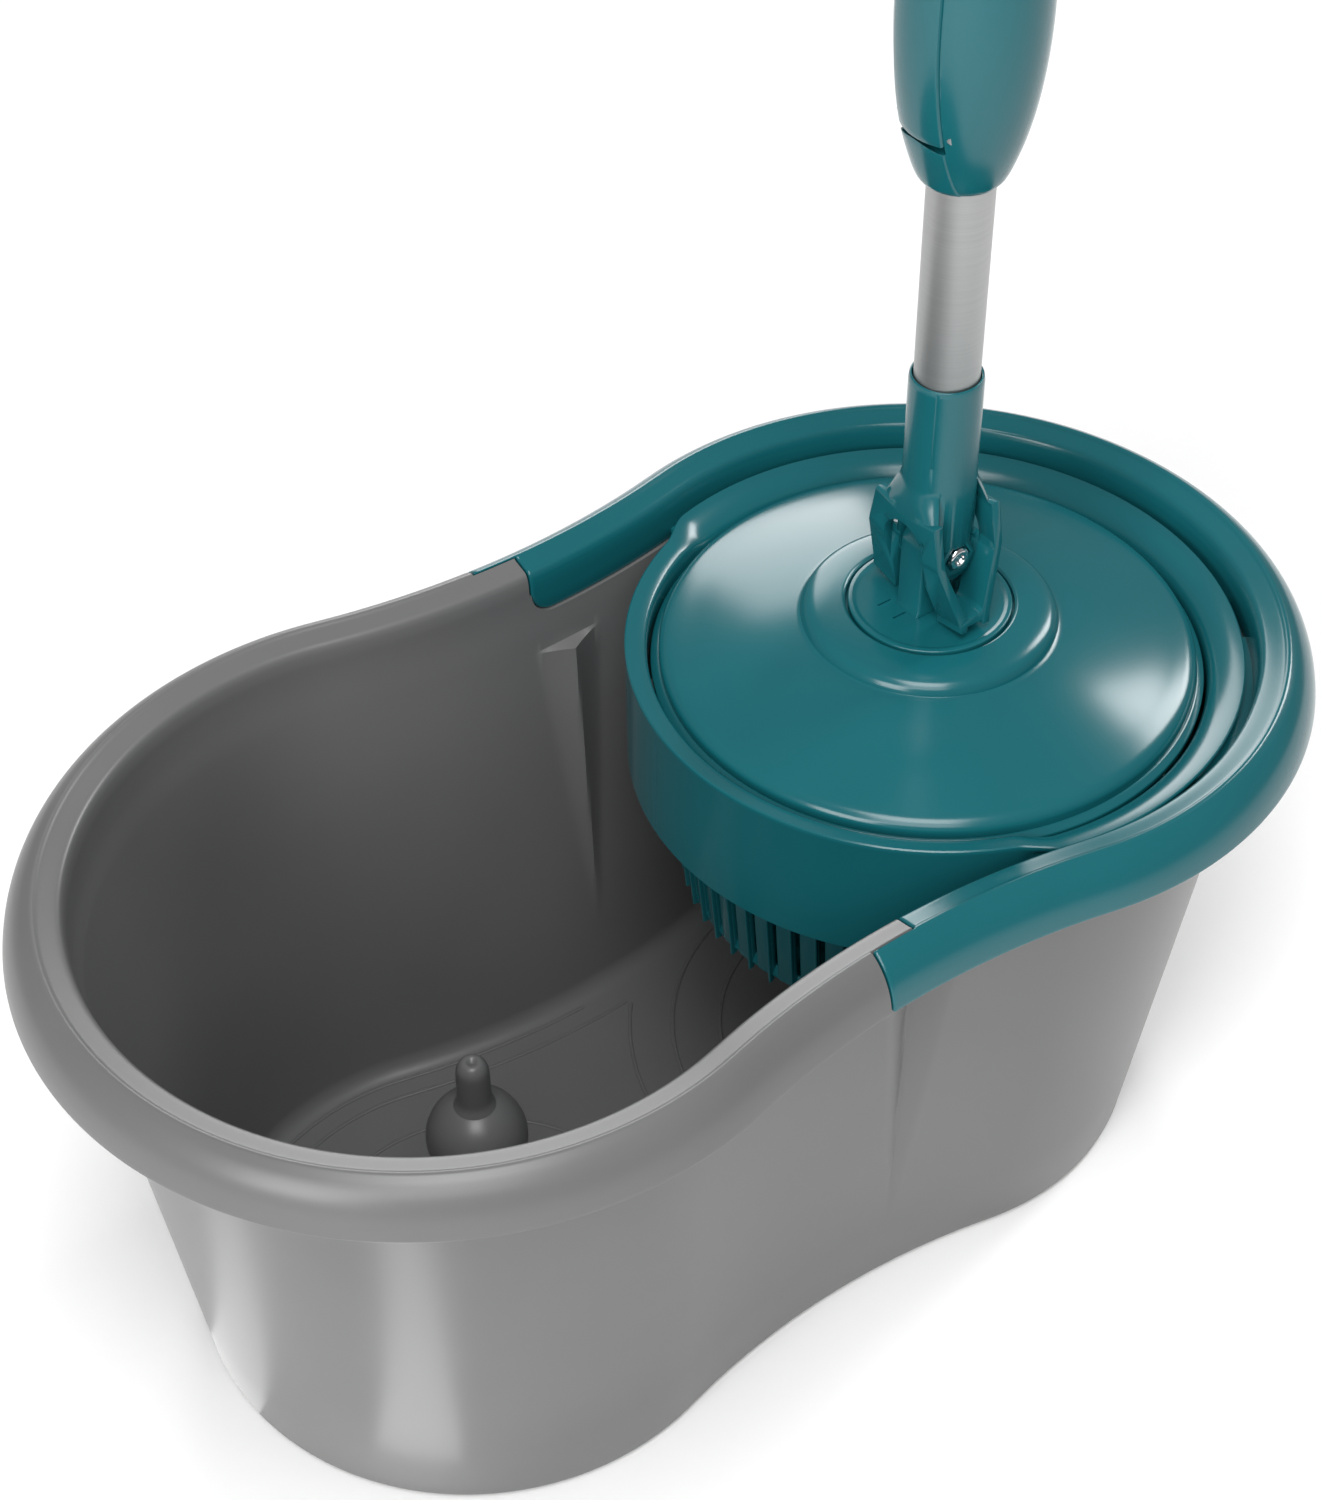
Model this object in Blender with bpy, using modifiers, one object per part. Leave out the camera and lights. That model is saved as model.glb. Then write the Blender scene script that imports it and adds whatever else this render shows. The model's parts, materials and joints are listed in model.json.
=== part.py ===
"""Spin mop: a two-bowl bucket with a spinner basket, and a telescopic mop that stands in the basket.

Metres, +Z up.  The origin is on the floor, under the middle of the bucket.  The wash bowl is towards -X
and the spinner bowl towards +X.  Every turned piece of the spinner and the mop shares the axis at SPIN_X.
"""
import math

import bmesh
import bpy
from mathutils import Matrix

MM = 0.001
GAP = 0.3 * MM

# Bucket: an outline is (front x, front radius, rear x, rear radius, waist radius)
SPIN_X = 88.0 * MM
RIM_OUTLINE = (-86.5 * MM, 116.6 * MM, SPIN_X, 115.1 * MM, 258.9 * MM)
BASE_OUTLINE = (-80.0 * MM, 85.5 * MM, 77.3 * MM, 83.3 * MM, 252.0 * MM)
RIM_OVERHANG = 16.0 * MM
WALL_TOP_Z = 172.0 * MM
WALL = 2.2 * MM
BASE_EDGE = 3.0 * MM
FLOOR_Z = 2.6 * MM
LOBE_STEPS = 12

# Flutes pressed into both waist walls
FLUTE_X = 17.0 * MM
FLUTE_LOW_Z = 33.0 * MM
FLUTE_TOP_Z = 150.0 * MM
FLUTE_HALF_WIDTH = 13.0 * MM
FLUTE_TIP_HALF_WIDTH = 1.5 * MM
FLUTE_DEPTH = 7.0 * MM

# Rim: (offset from the rim outline, height, direction in which the rim sinks under the cover)
COVER_SEAT = 2.3 * MM
COVER_WALL = 2.0 * MM
COVER_OUTER_X = -11.0 * MM
COVER_INNER_X = 6.0 * MM
RIM_UNDER = (
    (-16.0, 165.5, 1.0, 0.0),
    (-13.6, 174.5, 1.0, -0.3),
    (-10.0, 178.8, 0.0, -1.0),
    (-5.2, 176.2, -0.8, -0.6),
    (-2.2, 166.5, -1.0, 0.0),
)
RIM_OVER = (
    (0.0, 166.5, -1.0, 0.0),
    (-1.5, 172.6, -1.0, -0.2),
    (-4.4, 178.4, -0.7, -0.7),
    (-9.5, 181.5, 0.0, -1.0),
    (-13.6, 180.8, 0.3, -0.95),
    (-17.2, 178.2, 0.8, -0.6),
    (-18.2, 173.0, 1.0, 0.0),
    (-18.3, 165.0, 1.0, 0.0),
)
RIM_CREST = 3

# Spinner collar
RING_STEPS = 48
LIP_Z = 175.0 * MM
LIP_R = 90.0 * MM
SKIRT_LOW_Z = 130.0 * MM
SHELF_R = 94.0 * MM
SHELF_Z = 172.5 * MM
SHELF_FRONT_X = SPIN_X - 32.0 * MM
CHANNEL_WINDOWS = (-78.0, -26.0, 26.0, 78.0)

# Basket
BASKET_TOP_Z = 168.4 * MM
BASKET_LOW_Z = 90.5 * MM
BASKET_RIM_R = 82.6 * MM
SLOT_COUNT = 28
SLOT_WIDTH = 5.6 * MM
SLOT_LOW_Z = 99.0 * MM
SLOT_TOP_Z = 158.0 * MM
CONE_TOP_Z = 152.0 * MM

# Posts and spindle
WASH_X = -78.0 * MM
WASH_BALL_Z = 61.0 * MM
WASH_BALL_R = 15.4 * MM
WASH_PIN_R = 5.1 * MM
WASH_PIN_TOP_Z = 94.0 * MM
SPINDLE_R = 4.0 * MM
REAR_POST_TOP_Z = 78.0 * MM

# Mop head
PLATE_R = 80.0 * MM
PLATE_LOW_Z = 169.0 * MM
HUB_R = 24.2 * MM
HUB_TOP_Z = 189.0 * MM
BARREL_R = 22.0 * MM
LUG_HALF_X = 8.6 * MM
LUG_HALF_Y = 8.2 * MM

# Handle
PIVOT_Z = 211.0 * MM
BOLT_R = 2.0 * MM
BOLT_SEAT_Y = 14.8 * MM
EAR_TOP_Y = 10.9 * MM
EAR_TOP_Z = 226.0 * MM
EAR_FLARE_DEG = 9.0
EAR_THICKNESS = 4.4 * MM
SOCKET_R = 10.6 * MM
SOCKET_TOP_Z = 270.0 * MM
LOWER_TUBE_R = 9.3 * MM
LOWER_TUBE_WALL = 0.8 * MM
LOWER_TUBE_Z = (236.0 * MM, 800.0 * MM)
UPPER_TUBE_R = 11.2 * MM
UPPER_TUBE_WALL = 0.9 * MM
UPPER_TUBE_Z = (372.0 * MM, 1060.0 * MM)
TWIST_PITCH = 120.0 * MM
BAR_Z = (480.0 * MM, 1050.0 * MM)
BAR_SIZE = (8.0 * MM, 2.0 * MM)
BAR_STEPS_PER_TURN = 32
NUT_Z = (758.0 * MM, 794.0 * MM)
NUT_PLAY = 0.5 * MM
GRIP_Z = (333.0 * MM, 478.0 * MM)
LEVER_PIVOT_X = -13.5 * MM
LEVER_PIVOT_Z = 353.0 * MM
LEVER_Z = (350.5 * MM, 432.0 * MM)
LEVER_SWING_ROOM = 3.0 * MM
LEVER_HALF_Y = 8.4 * MM
HAND_GRIP_Z = (950.0 * MM, 1085.0 * MM)
CAP_TOP_Z = 1120.0 * MM

ROUND_STEPS = 24
SMALL_STEPS = 16

TEAL = (0.014, 0.135, 0.155, 1.0)
GREY = (0.22, 0.22, 0.22, 1.0)
PALE = (0.62, 0.60, 0.58, 1.0)
STEEL = (0.60, 0.61, 0.61, 1.0)
CHROME = (0.75, 0.75, 0.76, 1.0)
NYLON = (0.55, 0.55, 0.53, 1.0)

FINISHES = {
    "teal_plastic": (TEAL, 0.28, 0.0),
    "grey_plastic": (GREY, 0.34, 0.0),
    "white_microfibre": (PALE, 0.95, 0.0),
    "satin_steel": (STEEL, 0.30, 1.0),
    "chrome_steel": (CHROME, 0.12, 1.0),
    "nylon": (NYLON, 0.45, 0.0),
}


def clear_scene():
    for obj in list(bpy.data.objects):
        bpy.data.objects.remove(obj, do_unlink=True)


def make_collection(name):
    collection = bpy.data.collections.new(name)
    bpy.context.scene.collection.children.link(collection)
    return collection


def make_materials():
    materials = {}
    for name, (colour, roughness, metallic) in FINISHES.items():
        material = bpy.data.materials.new(name)
        material.use_nodes = True
        shader = material.node_tree.nodes["Principled BSDF"]
        shader.inputs["Base Color"].default_value = colour
        shader.inputs["Roughness"].default_value = roughness
        shader.inputs["Metallic"].default_value = metallic
        materials[name] = material
    return materials


clear_scene()
PARTS = make_collection("spin_mop")
CUTTERS = make_collection("cutters")
MATERIALS = make_materials()


def add_object(name, mesh, finish):
    """One sub-part in the parts collection, or a cutter when finish is None."""
    obj = bpy.data.objects.new(name, mesh)
    if finish is None:
        CUTTERS.objects.link(obj)
        obj.hide_render = True
        obj.display_type = "WIRE"
    else:
        PARTS.objects.link(obj)
        mesh.materials.append(MATERIALS[finish])
    return obj


def boolean(obj, other, operation="DIFFERENCE"):
    modifier = obj.modifiers.new(other.name, "BOOLEAN")
    modifier.operation = operation
    modifier.object = other


def mesh_from(bm, name):
    mesh = bpy.data.meshes.new(name)
    bm.to_mesh(mesh)
    bm.free()
    return mesh


def turned(name, profile, finish, x=SPIN_X, steps=ROUND_STEPS, closed=True):
    """A profile of (radius, height) turned about the vertical line at x; open profiles end on the axis."""
    bm = bmesh.new()
    points = [bm.verts.new((radius, 0.0, height)) for radius, height in profile]
    for first, second in zip(points, points[1:]):
        bm.edges.new((first, second))
    if closed:
        bm.edges.new((points[-1], points[0]))
    mesh = mesh_from(bm, name)
    obj = add_object(name, mesh, finish)
    obj.location.x = x
    screw = obj.modifiers.new("turn", "SCREW")
    screw.steps = steps
    screw.render_steps = steps
    screw.use_merge_vertices = True
    screw.merge_threshold = 0.00001
    screw.use_smooth_shade = True
    return obj


def tube(name, radius, wall, low, high, finish, x=SPIN_X, steps=ROUND_STEPS):
    profile = ((radius, high), (radius, low), (radius - wall, low), (radius - wall, high))
    return turned(name, profile, finish, x, steps)


def box(name, low, high, finish=None):
    bm = bmesh.new()
    bmesh.ops.create_cube(bm, size=1.0)
    size = [b - a for a, b in zip(low, high)]
    middle = [(a + b) / 2 for a, b in zip(low, high)]
    bmesh.ops.scale(bm, vec=size, verts=bm.verts)
    bmesh.ops.translate(bm, vec=middle, verts=bm.verts)
    return add_object(name, mesh_from(bm, name), finish)


def rod(name, radius, start, length, axis, finish, steps=SMALL_STEPS):
    """A cylinder from start along +Y or +Z."""
    bm = bmesh.new()
    bmesh.ops.create_cone(bm, cap_ends=True, segments=steps, radius1=radius, radius2=radius, depth=length)
    bmesh.ops.translate(bm, vec=(0.0, 0.0, length / 2), verts=bm.verts)
    if axis == "Y":
        bmesh.ops.rotate(bm, matrix=Matrix.Rotation(math.radians(-90), 3, "X"), verts=bm.verts)
    mesh = mesh_from(bm, name)
    mesh.shade_smooth()
    mesh.set_sharp_from_angle(angle=math.radians(40))
    obj = add_object(name, mesh, finish)
    obj.location = start
    return obj


def plate(name, outline, thickness, finish):
    """A flat outline of (x, z) points, extruded evenly to both sides of the plane y = 0."""
    bm = bmesh.new()
    points = [bm.verts.new((x, -thickness / 2, z)) for x, z in outline]
    face = bm.faces.new(points)
    extruded = bmesh.ops.extrude_face_region(bm, geom=[face])
    moved = [item for item in extruded["geom"] if isinstance(item, bmesh.types.BMVert)]
    bmesh.ops.translate(bm, vec=(0.0, thickness, 0.0), verts=moved)
    bmesh.ops.recalc_face_normals(bm, faces=bm.faces)
    return add_object(name, mesh_from(bm, name), finish)


def loft(name, rings, finish):
    """Faces between equal closed rings of points, with a flat cap on the first and the last ring."""
    bm = bmesh.new()
    rows = [[bm.verts.new(point) for point in ring] for ring in rings]
    count = len(rows[0])
    for lower, upper in zip(rows, rows[1:]):
        for i in range(count):
            j = (i + 1) % count
            bm.faces.new((lower[i], lower[j], upper[j], upper[i]))
    bm.faces.new(rows[0][::-1])
    bm.faces.new(rows[-1])
    bmesh.ops.recalc_face_normals(bm, faces=bm.faces)
    mesh = mesh_from(bm, name)
    mesh.shade_smooth()
    mesh.set_sharp_from_angle(angle=math.radians(35))
    return add_object(name, mesh, finish)


# ---------------------------------------------------------------- bucket outline

def offset_outline(outline, amount):
    front_x, front_r, rear_x, rear_r, waist_r = outline
    return (front_x, front_r + amount, rear_x, rear_r + amount, waist_r - amount)


def wall_outline(z):
    """The outer face of the bucket's wall at height z."""
    top = offset_outline(RIM_OUTLINE, -RIM_OVERHANG)
    share = z / WALL_TOP_Z
    return tuple(a + (b - a) * share for a, b in zip(BASE_OUTLINE, top))


def flute_half_width(z):
    share = min(max((z - FLUTE_LOW_Z) / (FLUTE_TOP_Z - FLUTE_LOW_Z), 0.0), 1.0)
    return FLUTE_TIP_HALF_WIDTH + (FLUTE_HALF_WIDTH - FLUTE_TIP_HALF_WIDTH) * share


def flute_depth(z):
    share = (z - FLUTE_LOW_Z) / (FLUTE_TOP_Z - FLUTE_LOW_Z)
    return FLUTE_DEPTH * share if 0.0 < share <= 1.0 else 0.0


def waist_stations(z):
    """x of the outline's points along the waist, from rear to front."""
    step = 0.3 * MM
    if z > FLUTE_TOP_Z + 10 * MM:
        joint = [COVER_INNER_X + step, COVER_INNER_X, COVER_OUTER_X + step, COVER_OUTER_X]
        return [46 * MM, 30 * MM, FLUTE_X] + joint + [-28 * MM, -43 * MM]
    half = flute_half_width(z)
    near = FLUTE_X - half
    between = [near + (-28 * MM - near) * share for share in (0.25, 0.5, 0.75)]
    return [46 * MM, FLUTE_X + half, FLUTE_X, near] + between + [-28 * MM, -43 * MM]


def half_outline(outline, stations):
    """Points (x, y) with y >= 0, from the rear tip round the waist to the front tip."""
    front_x, front_r, rear_x, rear_r, waist_r = outline
    span = rear_x - front_x
    to_front = front_r + waist_r
    to_rear = rear_r + waist_r
    waist_x = front_x + (span ** 2 + to_front ** 2 - to_rear ** 2) / (2 * span)
    waist_y = math.sqrt(to_front ** 2 - (waist_x - front_x) ** 2)
    rear_end = math.atan2(waist_y, waist_x - rear_x)
    front_start = math.atan2(waist_y, waist_x - front_x)
    points = []
    for i in range(LOBE_STEPS + 1):
        angle = rear_end * i / LOBE_STEPS
        points.append((rear_x + rear_r * math.cos(angle), rear_r * math.sin(angle)))
    for x in stations:
        points.append((x, waist_y - math.sqrt(waist_r ** 2 - (x - waist_x) ** 2)))
    for i in range(LOBE_STEPS + 1):
        angle = front_start + (math.pi - front_start) * i / LOBE_STEPS
        points.append((front_x + front_r * math.cos(angle), front_r * math.sin(angle)))
    return points


def wall_ring(z, inward, fluted):
    """A closed ring of points on the wall, moved inward from its outer face."""
    half = half_outline(offset_outline(wall_outline(z), -inward), waist_stations(z))
    ring = []
    for x, y in half:
        share = 1.0 - abs(x - FLUTE_X) / flute_half_width(z)
        dent = flute_depth(z) * share if fluted and share > 0.0 and y > 0.0 else 0.0
        ring.append((x, y - dent, z))
    return ring + mirrored(ring)


def mirrored(ring):
    """The same points on the -Y side, in reverse order, without the two tips."""
    return [(x, -y, z) for x, y, z in reversed(ring[1:-1])]


def rim_half(point, seat, seat_from_x):
    """Half a ring of the rim; behind seat_from_x it is sunk by seat along its own direction."""
    offset, height, along_offset, along_z = point
    high = WALL_TOP_Z
    plain = half_outline(offset_outline(RIM_OUTLINE, offset * MM), waist_stations(high))
    sunk_outline = offset_outline(RIM_OUTLINE, offset * MM + seat * along_offset)
    sunk = half_outline(sunk_outline, waist_stations(high))
    ring = []
    for (x, y), (sunk_x, sunk_y) in zip(plain, sunk):
        if x > seat_from_x + 0.1 * MM:
            ring.append((sunk_x, sunk_y, height * MM + seat * along_z))
        else:
            ring.append((x, y, height * MM))
    return ring


def rim_ring(point, outer):
    half = rim_half(point, COVER_SEAT, COVER_OUTER_X if outer else COVER_INNER_X)
    return half + mirrored(half)


def build_bucket():
    """A loft up the outside, under and over the hollow rim, and down the inside to the floor."""
    flute_end = FLUTE_TOP_Z + 1.2 * MM
    rings = [
        wall_ring(0.0, BASE_EDGE, False),
        wall_ring(BASE_EDGE, 0.0, False),
        wall_ring(FLUTE_LOW_Z, 0.0, False),
        wall_ring(FLUTE_TOP_Z, 0.0, True),
        wall_ring(flute_end, 0.0, False),
        wall_ring(163.0 * MM, 0.0, False),
    ]
    rings += [rim_ring(point, i >= 3) for i, point in enumerate(RIM_UNDER)]
    rings += [rim_ring(point, i <= RIM_CREST) for i, point in enumerate(RIM_OVER)]
    rings += [
        wall_ring(162.5 * MM, WALL, False),
        wall_ring(flute_end, WALL, False),
        wall_ring(FLUTE_TOP_Z, WALL, True),
        wall_ring(FLUTE_LOW_Z, WALL, False),
        wall_ring(FLOOR_Z + BASE_EDGE, WALL, False),
        wall_ring(FLOOR_Z, WALL + BASE_EDGE, False),
    ]
    loft("bucket", rings, "grey_plastic")


def build_cover():
    """The part of the collar that caps the rim: one section of the rim swept round the rear bowl."""
    over = [rim_half(point, 0.0, COVER_OUTER_X) for point in RIM_OVER]
    under = [rim_half(point, COVER_WALL, -1.0) for point in RIM_OVER]
    last = next(i for i, point in enumerate(over[0]) if point[0] < COVER_OUTER_X + 0.1 * MM)
    sections = []
    for i in range(last):
        sections.append([ring[i] for ring in over] + [ring[i] for ring in reversed(under)])
    left = [[(x, -y, z) for x, y, z in section] for section in sections[1:]]
    return loft("spinner_collar", left[::-1] + sections, "teal_plastic")


def cut_cover_front(collar):
    """On both sides the outer half of the cover runs further forward than the inner half."""
    crest = offset_outline(RIM_OUTLINE, RIM_OVER[RIM_CREST][0] * MM + 0.3 * MM)
    y_edge = half_outline(crest, [COVER_OUTER_X])[LOBE_STEPS + 1][1]
    for side in (-1, 1):
        ends = sorted((side * y_edge, side * (y_edge - 40 * MM)))
        low = (COVER_OUTER_X - 20 * MM, ends[0], 150 * MM)
        high = (COVER_INNER_X + 0.4 * MM, ends[1], 200 * MM)
        boolean(collar, box(f"cover_front_cut_{side}", low, high))


def build_collar():
    collar = build_cover()
    cut_cover_front(collar)
    lip = (
        (LIP_R - 1.2 * MM, LIP_Z),
        (LIP_R, LIP_Z - 1.4 * MM),
        (LIP_R - 0.4 * MM, SKIRT_LOW_Z),
        (LIP_R - 2.4 * MM, SKIRT_LOW_Z),
        (LIP_R - 2.0 * MM, LIP_Z - 4.2 * MM),
        (LIP_R - 4.6 * MM, LIP_Z - 4.4 * MM),
        (LIP_R - 4.8 * MM, LIP_Z - 15.0 * MM),
        (LIP_R - 6.8 * MM, LIP_Z - 15.0 * MM),
        (LIP_R - 6.4 * MM, LIP_Z - 2.0 * MM),
        (LIP_R - 4.8 * MM, LIP_Z - 0.4 * MM),
    )
    ring = turned("collar_lip", lip, None, steps=RING_STEPS)
    channel_r = RIM_OUTLINE[3] + RIM_OVER[-1][0] * MM + 0.9 * MM
    shelf = (
        (LIP_R - 1.0 * MM, SHELF_Z),
        (SHELF_R - 0.6 * MM, SHELF_Z),
        (SHELF_R, SHELF_Z - 0.6 * MM),
        (SHELF_R, SHELF_Z - 5.0 * MM),
        (channel_r, SHELF_Z - 5.0 * MM),
        (channel_r, SHELF_Z - 7.0 * MM),
        (SHELF_R - 2.0 * MM, SHELF_Z - 7.0 * MM),
        (SHELF_R - 2.0 * MM, SHELF_Z - 2.0 * MM),
        (LIP_R - 1.0 * MM, SHELF_Z - 2.0 * MM),
    )
    flange = turned("collar_shelf", shelf, None, steps=RING_STEPS)
    low = (SHELF_FRONT_X - 80 * MM, -120 * MM, 150 * MM)
    high = (SHELF_FRONT_X, 120 * MM, 190 * MM)
    boolean(flange, box("shelf_front_cut", low, high))
    for angle in CHANNEL_WINDOWS:
        window = box(f"channel_window_{angle:.0f}", (94.6 * MM, -9 * MM, 160 * MM), (96.2 * MM, 9 * MM, 175 * MM))
        window.location.x = SPIN_X
        window.rotation_euler.z = math.radians(angle)
        boolean(flange, window)
    boolean(collar, flange, "UNION")
    boolean(collar, ring, "UNION")


# ---------------------------------------------------------------- bucket fittings

def build_wash_post():
    """Bell, ball and neck as one turning, with a socket for the pin."""
    socket_r = WASH_PIN_R + GAP
    profile = []
    for i in range(9):
        angle = math.radians(62 - 118 * i / 8)
        profile.append((WASH_BALL_R * math.cos(angle), WASH_BALL_Z + WASH_BALL_R * math.sin(angle)))
    profile += [(12.0 * MM, 45 * MM), (17 * MM, 26 * MM), (25 * MM, 9 * MM), (33 * MM, FLOOR_Z + GAP)]
    profile += [(0.0, FLOOR_Z + GAP)]
    socket = [(0.0, WASH_BALL_Z - 3 * MM), (socket_r, WASH_BALL_Z - 3 * MM)]
    top_z = profile[0][1]
    turned("wash_post", socket + [(socket_r, top_z)] + profile, "grey_plastic", WASH_X, closed=False)
    foot = WASH_BALL_Z - 3 * MM + GAP
    pin = [(0.0, WASH_PIN_TOP_Z - 1.2 * MM), (1.4 * MM, WASH_PIN_TOP_Z), (3.2 * MM, WASH_PIN_TOP_Z - 0.5 * MM)]
    pin += [(4.6 * MM, WASH_PIN_TOP_Z - 2.2 * MM), (WASH_PIN_R, WASH_PIN_TOP_Z - 4.6 * MM)]
    pin += [(WASH_PIN_R, foot), (0.0, foot)]
    turned("wash_pin", pin, "grey_plastic", WASH_X, steps=SMALL_STEPS, closed=False)


def build_spindle():
    """The post that carries the basket, its steel spindle and the washer under the basket's bush."""
    socket_r = SPINDLE_R + GAP
    low = 58 * MM
    post = [(0.0, low), (socket_r, low), (socket_r, REAR_POST_TOP_Z), (9 * MM, REAR_POST_TOP_Z)]
    post += [(11 * MM, 40 * MM), (16 * MM, 14 * MM), (26 * MM, FLOOR_Z + GAP), (0.0, FLOOR_Z + GAP)]
    turned("basket_post", post, "grey_plastic", closed=False)
    top = 109 * MM
    spindle = [(0.0, top), (2.5 * MM, top - 0.4 * MM), (SPINDLE_R, top - 2 * MM)]
    spindle += [(SPINDLE_R, low + GAP), (0.0, low + GAP)]
    turned("basket_spindle", spindle, "satin_steel", steps=SMALL_STEPS, closed=False)
    low = REAR_POST_TOP_Z + GAP
    tube("thrust_washer", 8.6 * MM, 4.2 * MM, low, low + 2 * MM, "nylon", steps=SMALL_STEPS)


def build_basket():
    floor = BASKET_LOW_Z
    profile = [
        (0.0, CONE_TOP_Z),
        (9.5 * MM, CONE_TOP_Z),
        (12.0 * MM, CONE_TOP_Z - 4 * MM),
        (16.0 * MM, floor + 12 * MM),
        (22.0 * MM, floor + 2.4 * MM),
        (66.5 * MM, floor + 2.4 * MM),
        (70.2 * MM, floor + 5.5 * MM),
        (77.2 * MM, BASKET_TOP_Z - 3 * MM),
        (77.2 * MM, BASKET_TOP_Z),
        (BASKET_RIM_R, BASKET_TOP_Z),
        (BASKET_RIM_R, BASKET_TOP_Z - 2.4 * MM),
        (79.6 * MM, BASKET_TOP_Z - 5 * MM),
        (72.4 * MM, floor + 3 * MM),
        (69.5 * MM, floor),
        (20.0 * MM, floor),
        (13.0 * MM, floor - 6 * MM),
        (10.0 * MM, floor - 6 * MM),
        (10.0 * MM, 118 * MM),
        (8.0 * MM, CONE_TOP_Z - 3 * MM),
        (0.0, CONE_TOP_Z - 3 * MM),
    ]
    basket = turned("basket", profile, "teal_plastic", steps=RING_STEPS, closed=False)
    bm = bmesh.new()
    for i in range(SLOT_COUNT):
        turn = Matrix.Rotation(2 * math.pi * (i + 0.5) / SLOT_COUNT, 4, "Z")
        made = bmesh.ops.create_cube(bm, size=1.0)["verts"]
        size = (22 * MM, SLOT_WIDTH, SLOT_TOP_Z - SLOT_LOW_Z)
        bmesh.ops.scale(bm, vec=size, verts=made)
        bmesh.ops.translate(bm, vec=(76 * MM, 0.0, (SLOT_TOP_Z + SLOT_LOW_Z) / 2), verts=made)
        bmesh.ops.transform(bm, matrix=turn, verts=made)
    slots = add_object("basket_slots", mesh_from(bm, "basket_slots"), None)
    slots.location.x = SPIN_X
    boolean(basket, slots)
    bush_low = REAR_POST_TOP_Z + 2.6 * MM
    flange_top = floor - 6 * MM - GAP
    bush = (
        (9.7 * MM, 112 * MM),
        (9.7 * MM, flange_top),
        (12.6 * MM, flange_top),
        (12.6 * MM, bush_low),
        (SPINDLE_R + GAP, bush_low),
        (SPINDLE_R + GAP, 112 * MM),
    )
    turned("basket_bush", bush, "nylon", steps=SMALL_STEPS)
    cap_low = CONE_TOP_Z + GAP
    cap = ((0.0, cap_low + 10 * MM), (5.5 * MM, cap_low + 9 * MM), (9 * MM, cap_low + 4 * MM))
    cap += ((9.3 * MM, cap_low), (0.0, cap_low))
    turned("basket_cap", cap, "teal_plastic", steps=SMALL_STEPS, closed=False)


# ---------------------------------------------------------------- mop head

def build_mop_plate():
    hole = HUB_R + 0.4 * MM
    dome = (
        (hole, HUB_TOP_Z - 0.3 * MM),
        (30.0 * MM, 188.6 * MM),
        (35.5 * MM, 187.3 * MM),
        (38.8 * MM, 184.2 * MM),
        (44.0 * MM, 182.5 * MM),
        (60.0 * MM, 178.9 * MM),
        (73.0 * MM, 175.6 * MM),
        (78.2 * MM, 174.0 * MM),
        (PLATE_R, 172.0 * MM),
        (PLATE_R, PLATE_LOW_Z),
        (PLATE_R - 2.0 * MM, PLATE_LOW_Z),
        (PLATE_R - 2.4 * MM, 171.4 * MM),
        (72.0 * MM, 173.6 * MM),
        (60.0 * MM, 176.6 * MM),
        (43.0 * MM, 180.4 * MM),
        (36.6 * MM, 182.6 * MM),
        (34.0 * MM, 185.2 * MM),
        (hole + 2.6 * MM, 186.2 * MM),
        (hole + 2.6 * MM, 164.6 * MM),
        (hole - 2.2 * MM, 164.6 * MM),
        (hole - 2.2 * MM, 185.7 * MM),
        (hole, 185.7 * MM),
    )
    turned("mop_plate", dome, "teal_plastic", steps=RING_STEPS)


def build_hub():
    """Disc and barrel that sit in the plate, with the lug that carries the handle's bolt."""
    disc = (
        (0.0, HUB_TOP_Z),
        (HUB_R, HUB_TOP_Z),
        (HUB_R, HUB_TOP_Z - 3 * MM),
        (BARREL_R, HUB_TOP_Z - 3 * MM),
        (BARREL_R, 160.0 * MM),
        (BARREL_R - 2.2 * MM, 160.0 * MM),
        (BARREL_R - 2.2 * MM, HUB_TOP_Z - 4 * MM),
        (0.0, HUB_TOP_Z - 4 * MM),
    )
    hub = turned("hub_disc", disc, "teal_plastic", closed=False)
    outline = [(LUG_HALF_X, HUB_TOP_Z - 2 * MM)]
    for i in range(9):
        angle = math.pi * i / 8
        outline.append((LUG_HALF_X * math.cos(angle), PIVOT_Z + LUG_HALF_X * math.sin(angle)))
    outline += [(-LUG_HALF_X, HUB_TOP_Z - 2 * MM)]
    lug = plate("hub_lug", outline, 2 * LUG_HALF_Y, None)
    lug.location.x = SPIN_X
    boolean(hub, lug, "UNION")
    start = (SPIN_X, -20 * MM, PIVOT_Z)
    boolean(hub, rod("lug_bore", BOLT_R + GAP, start, 40 * MM, "Y", None, steps=12))
    inner = BARREL_R - 2.2 * MM - GAP
    bush = (
        (inner, HUB_TOP_Z - 4 * MM - GAP),
        (inner, 168 * MM),
        (WASH_PIN_R + 0.9 * MM, 168 * MM),
        (WASH_PIN_R + 0.9 * MM, HUB_TOP_Z - 4 * MM - GAP),
    )
    turned("head_bush", bush, "nylon")
    tube("hub_retainer", 26.8 * MM, 26.8 * MM - BARREL_R - GAP, 161.4 * MM, 164.2 * MM, "nylon")


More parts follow.
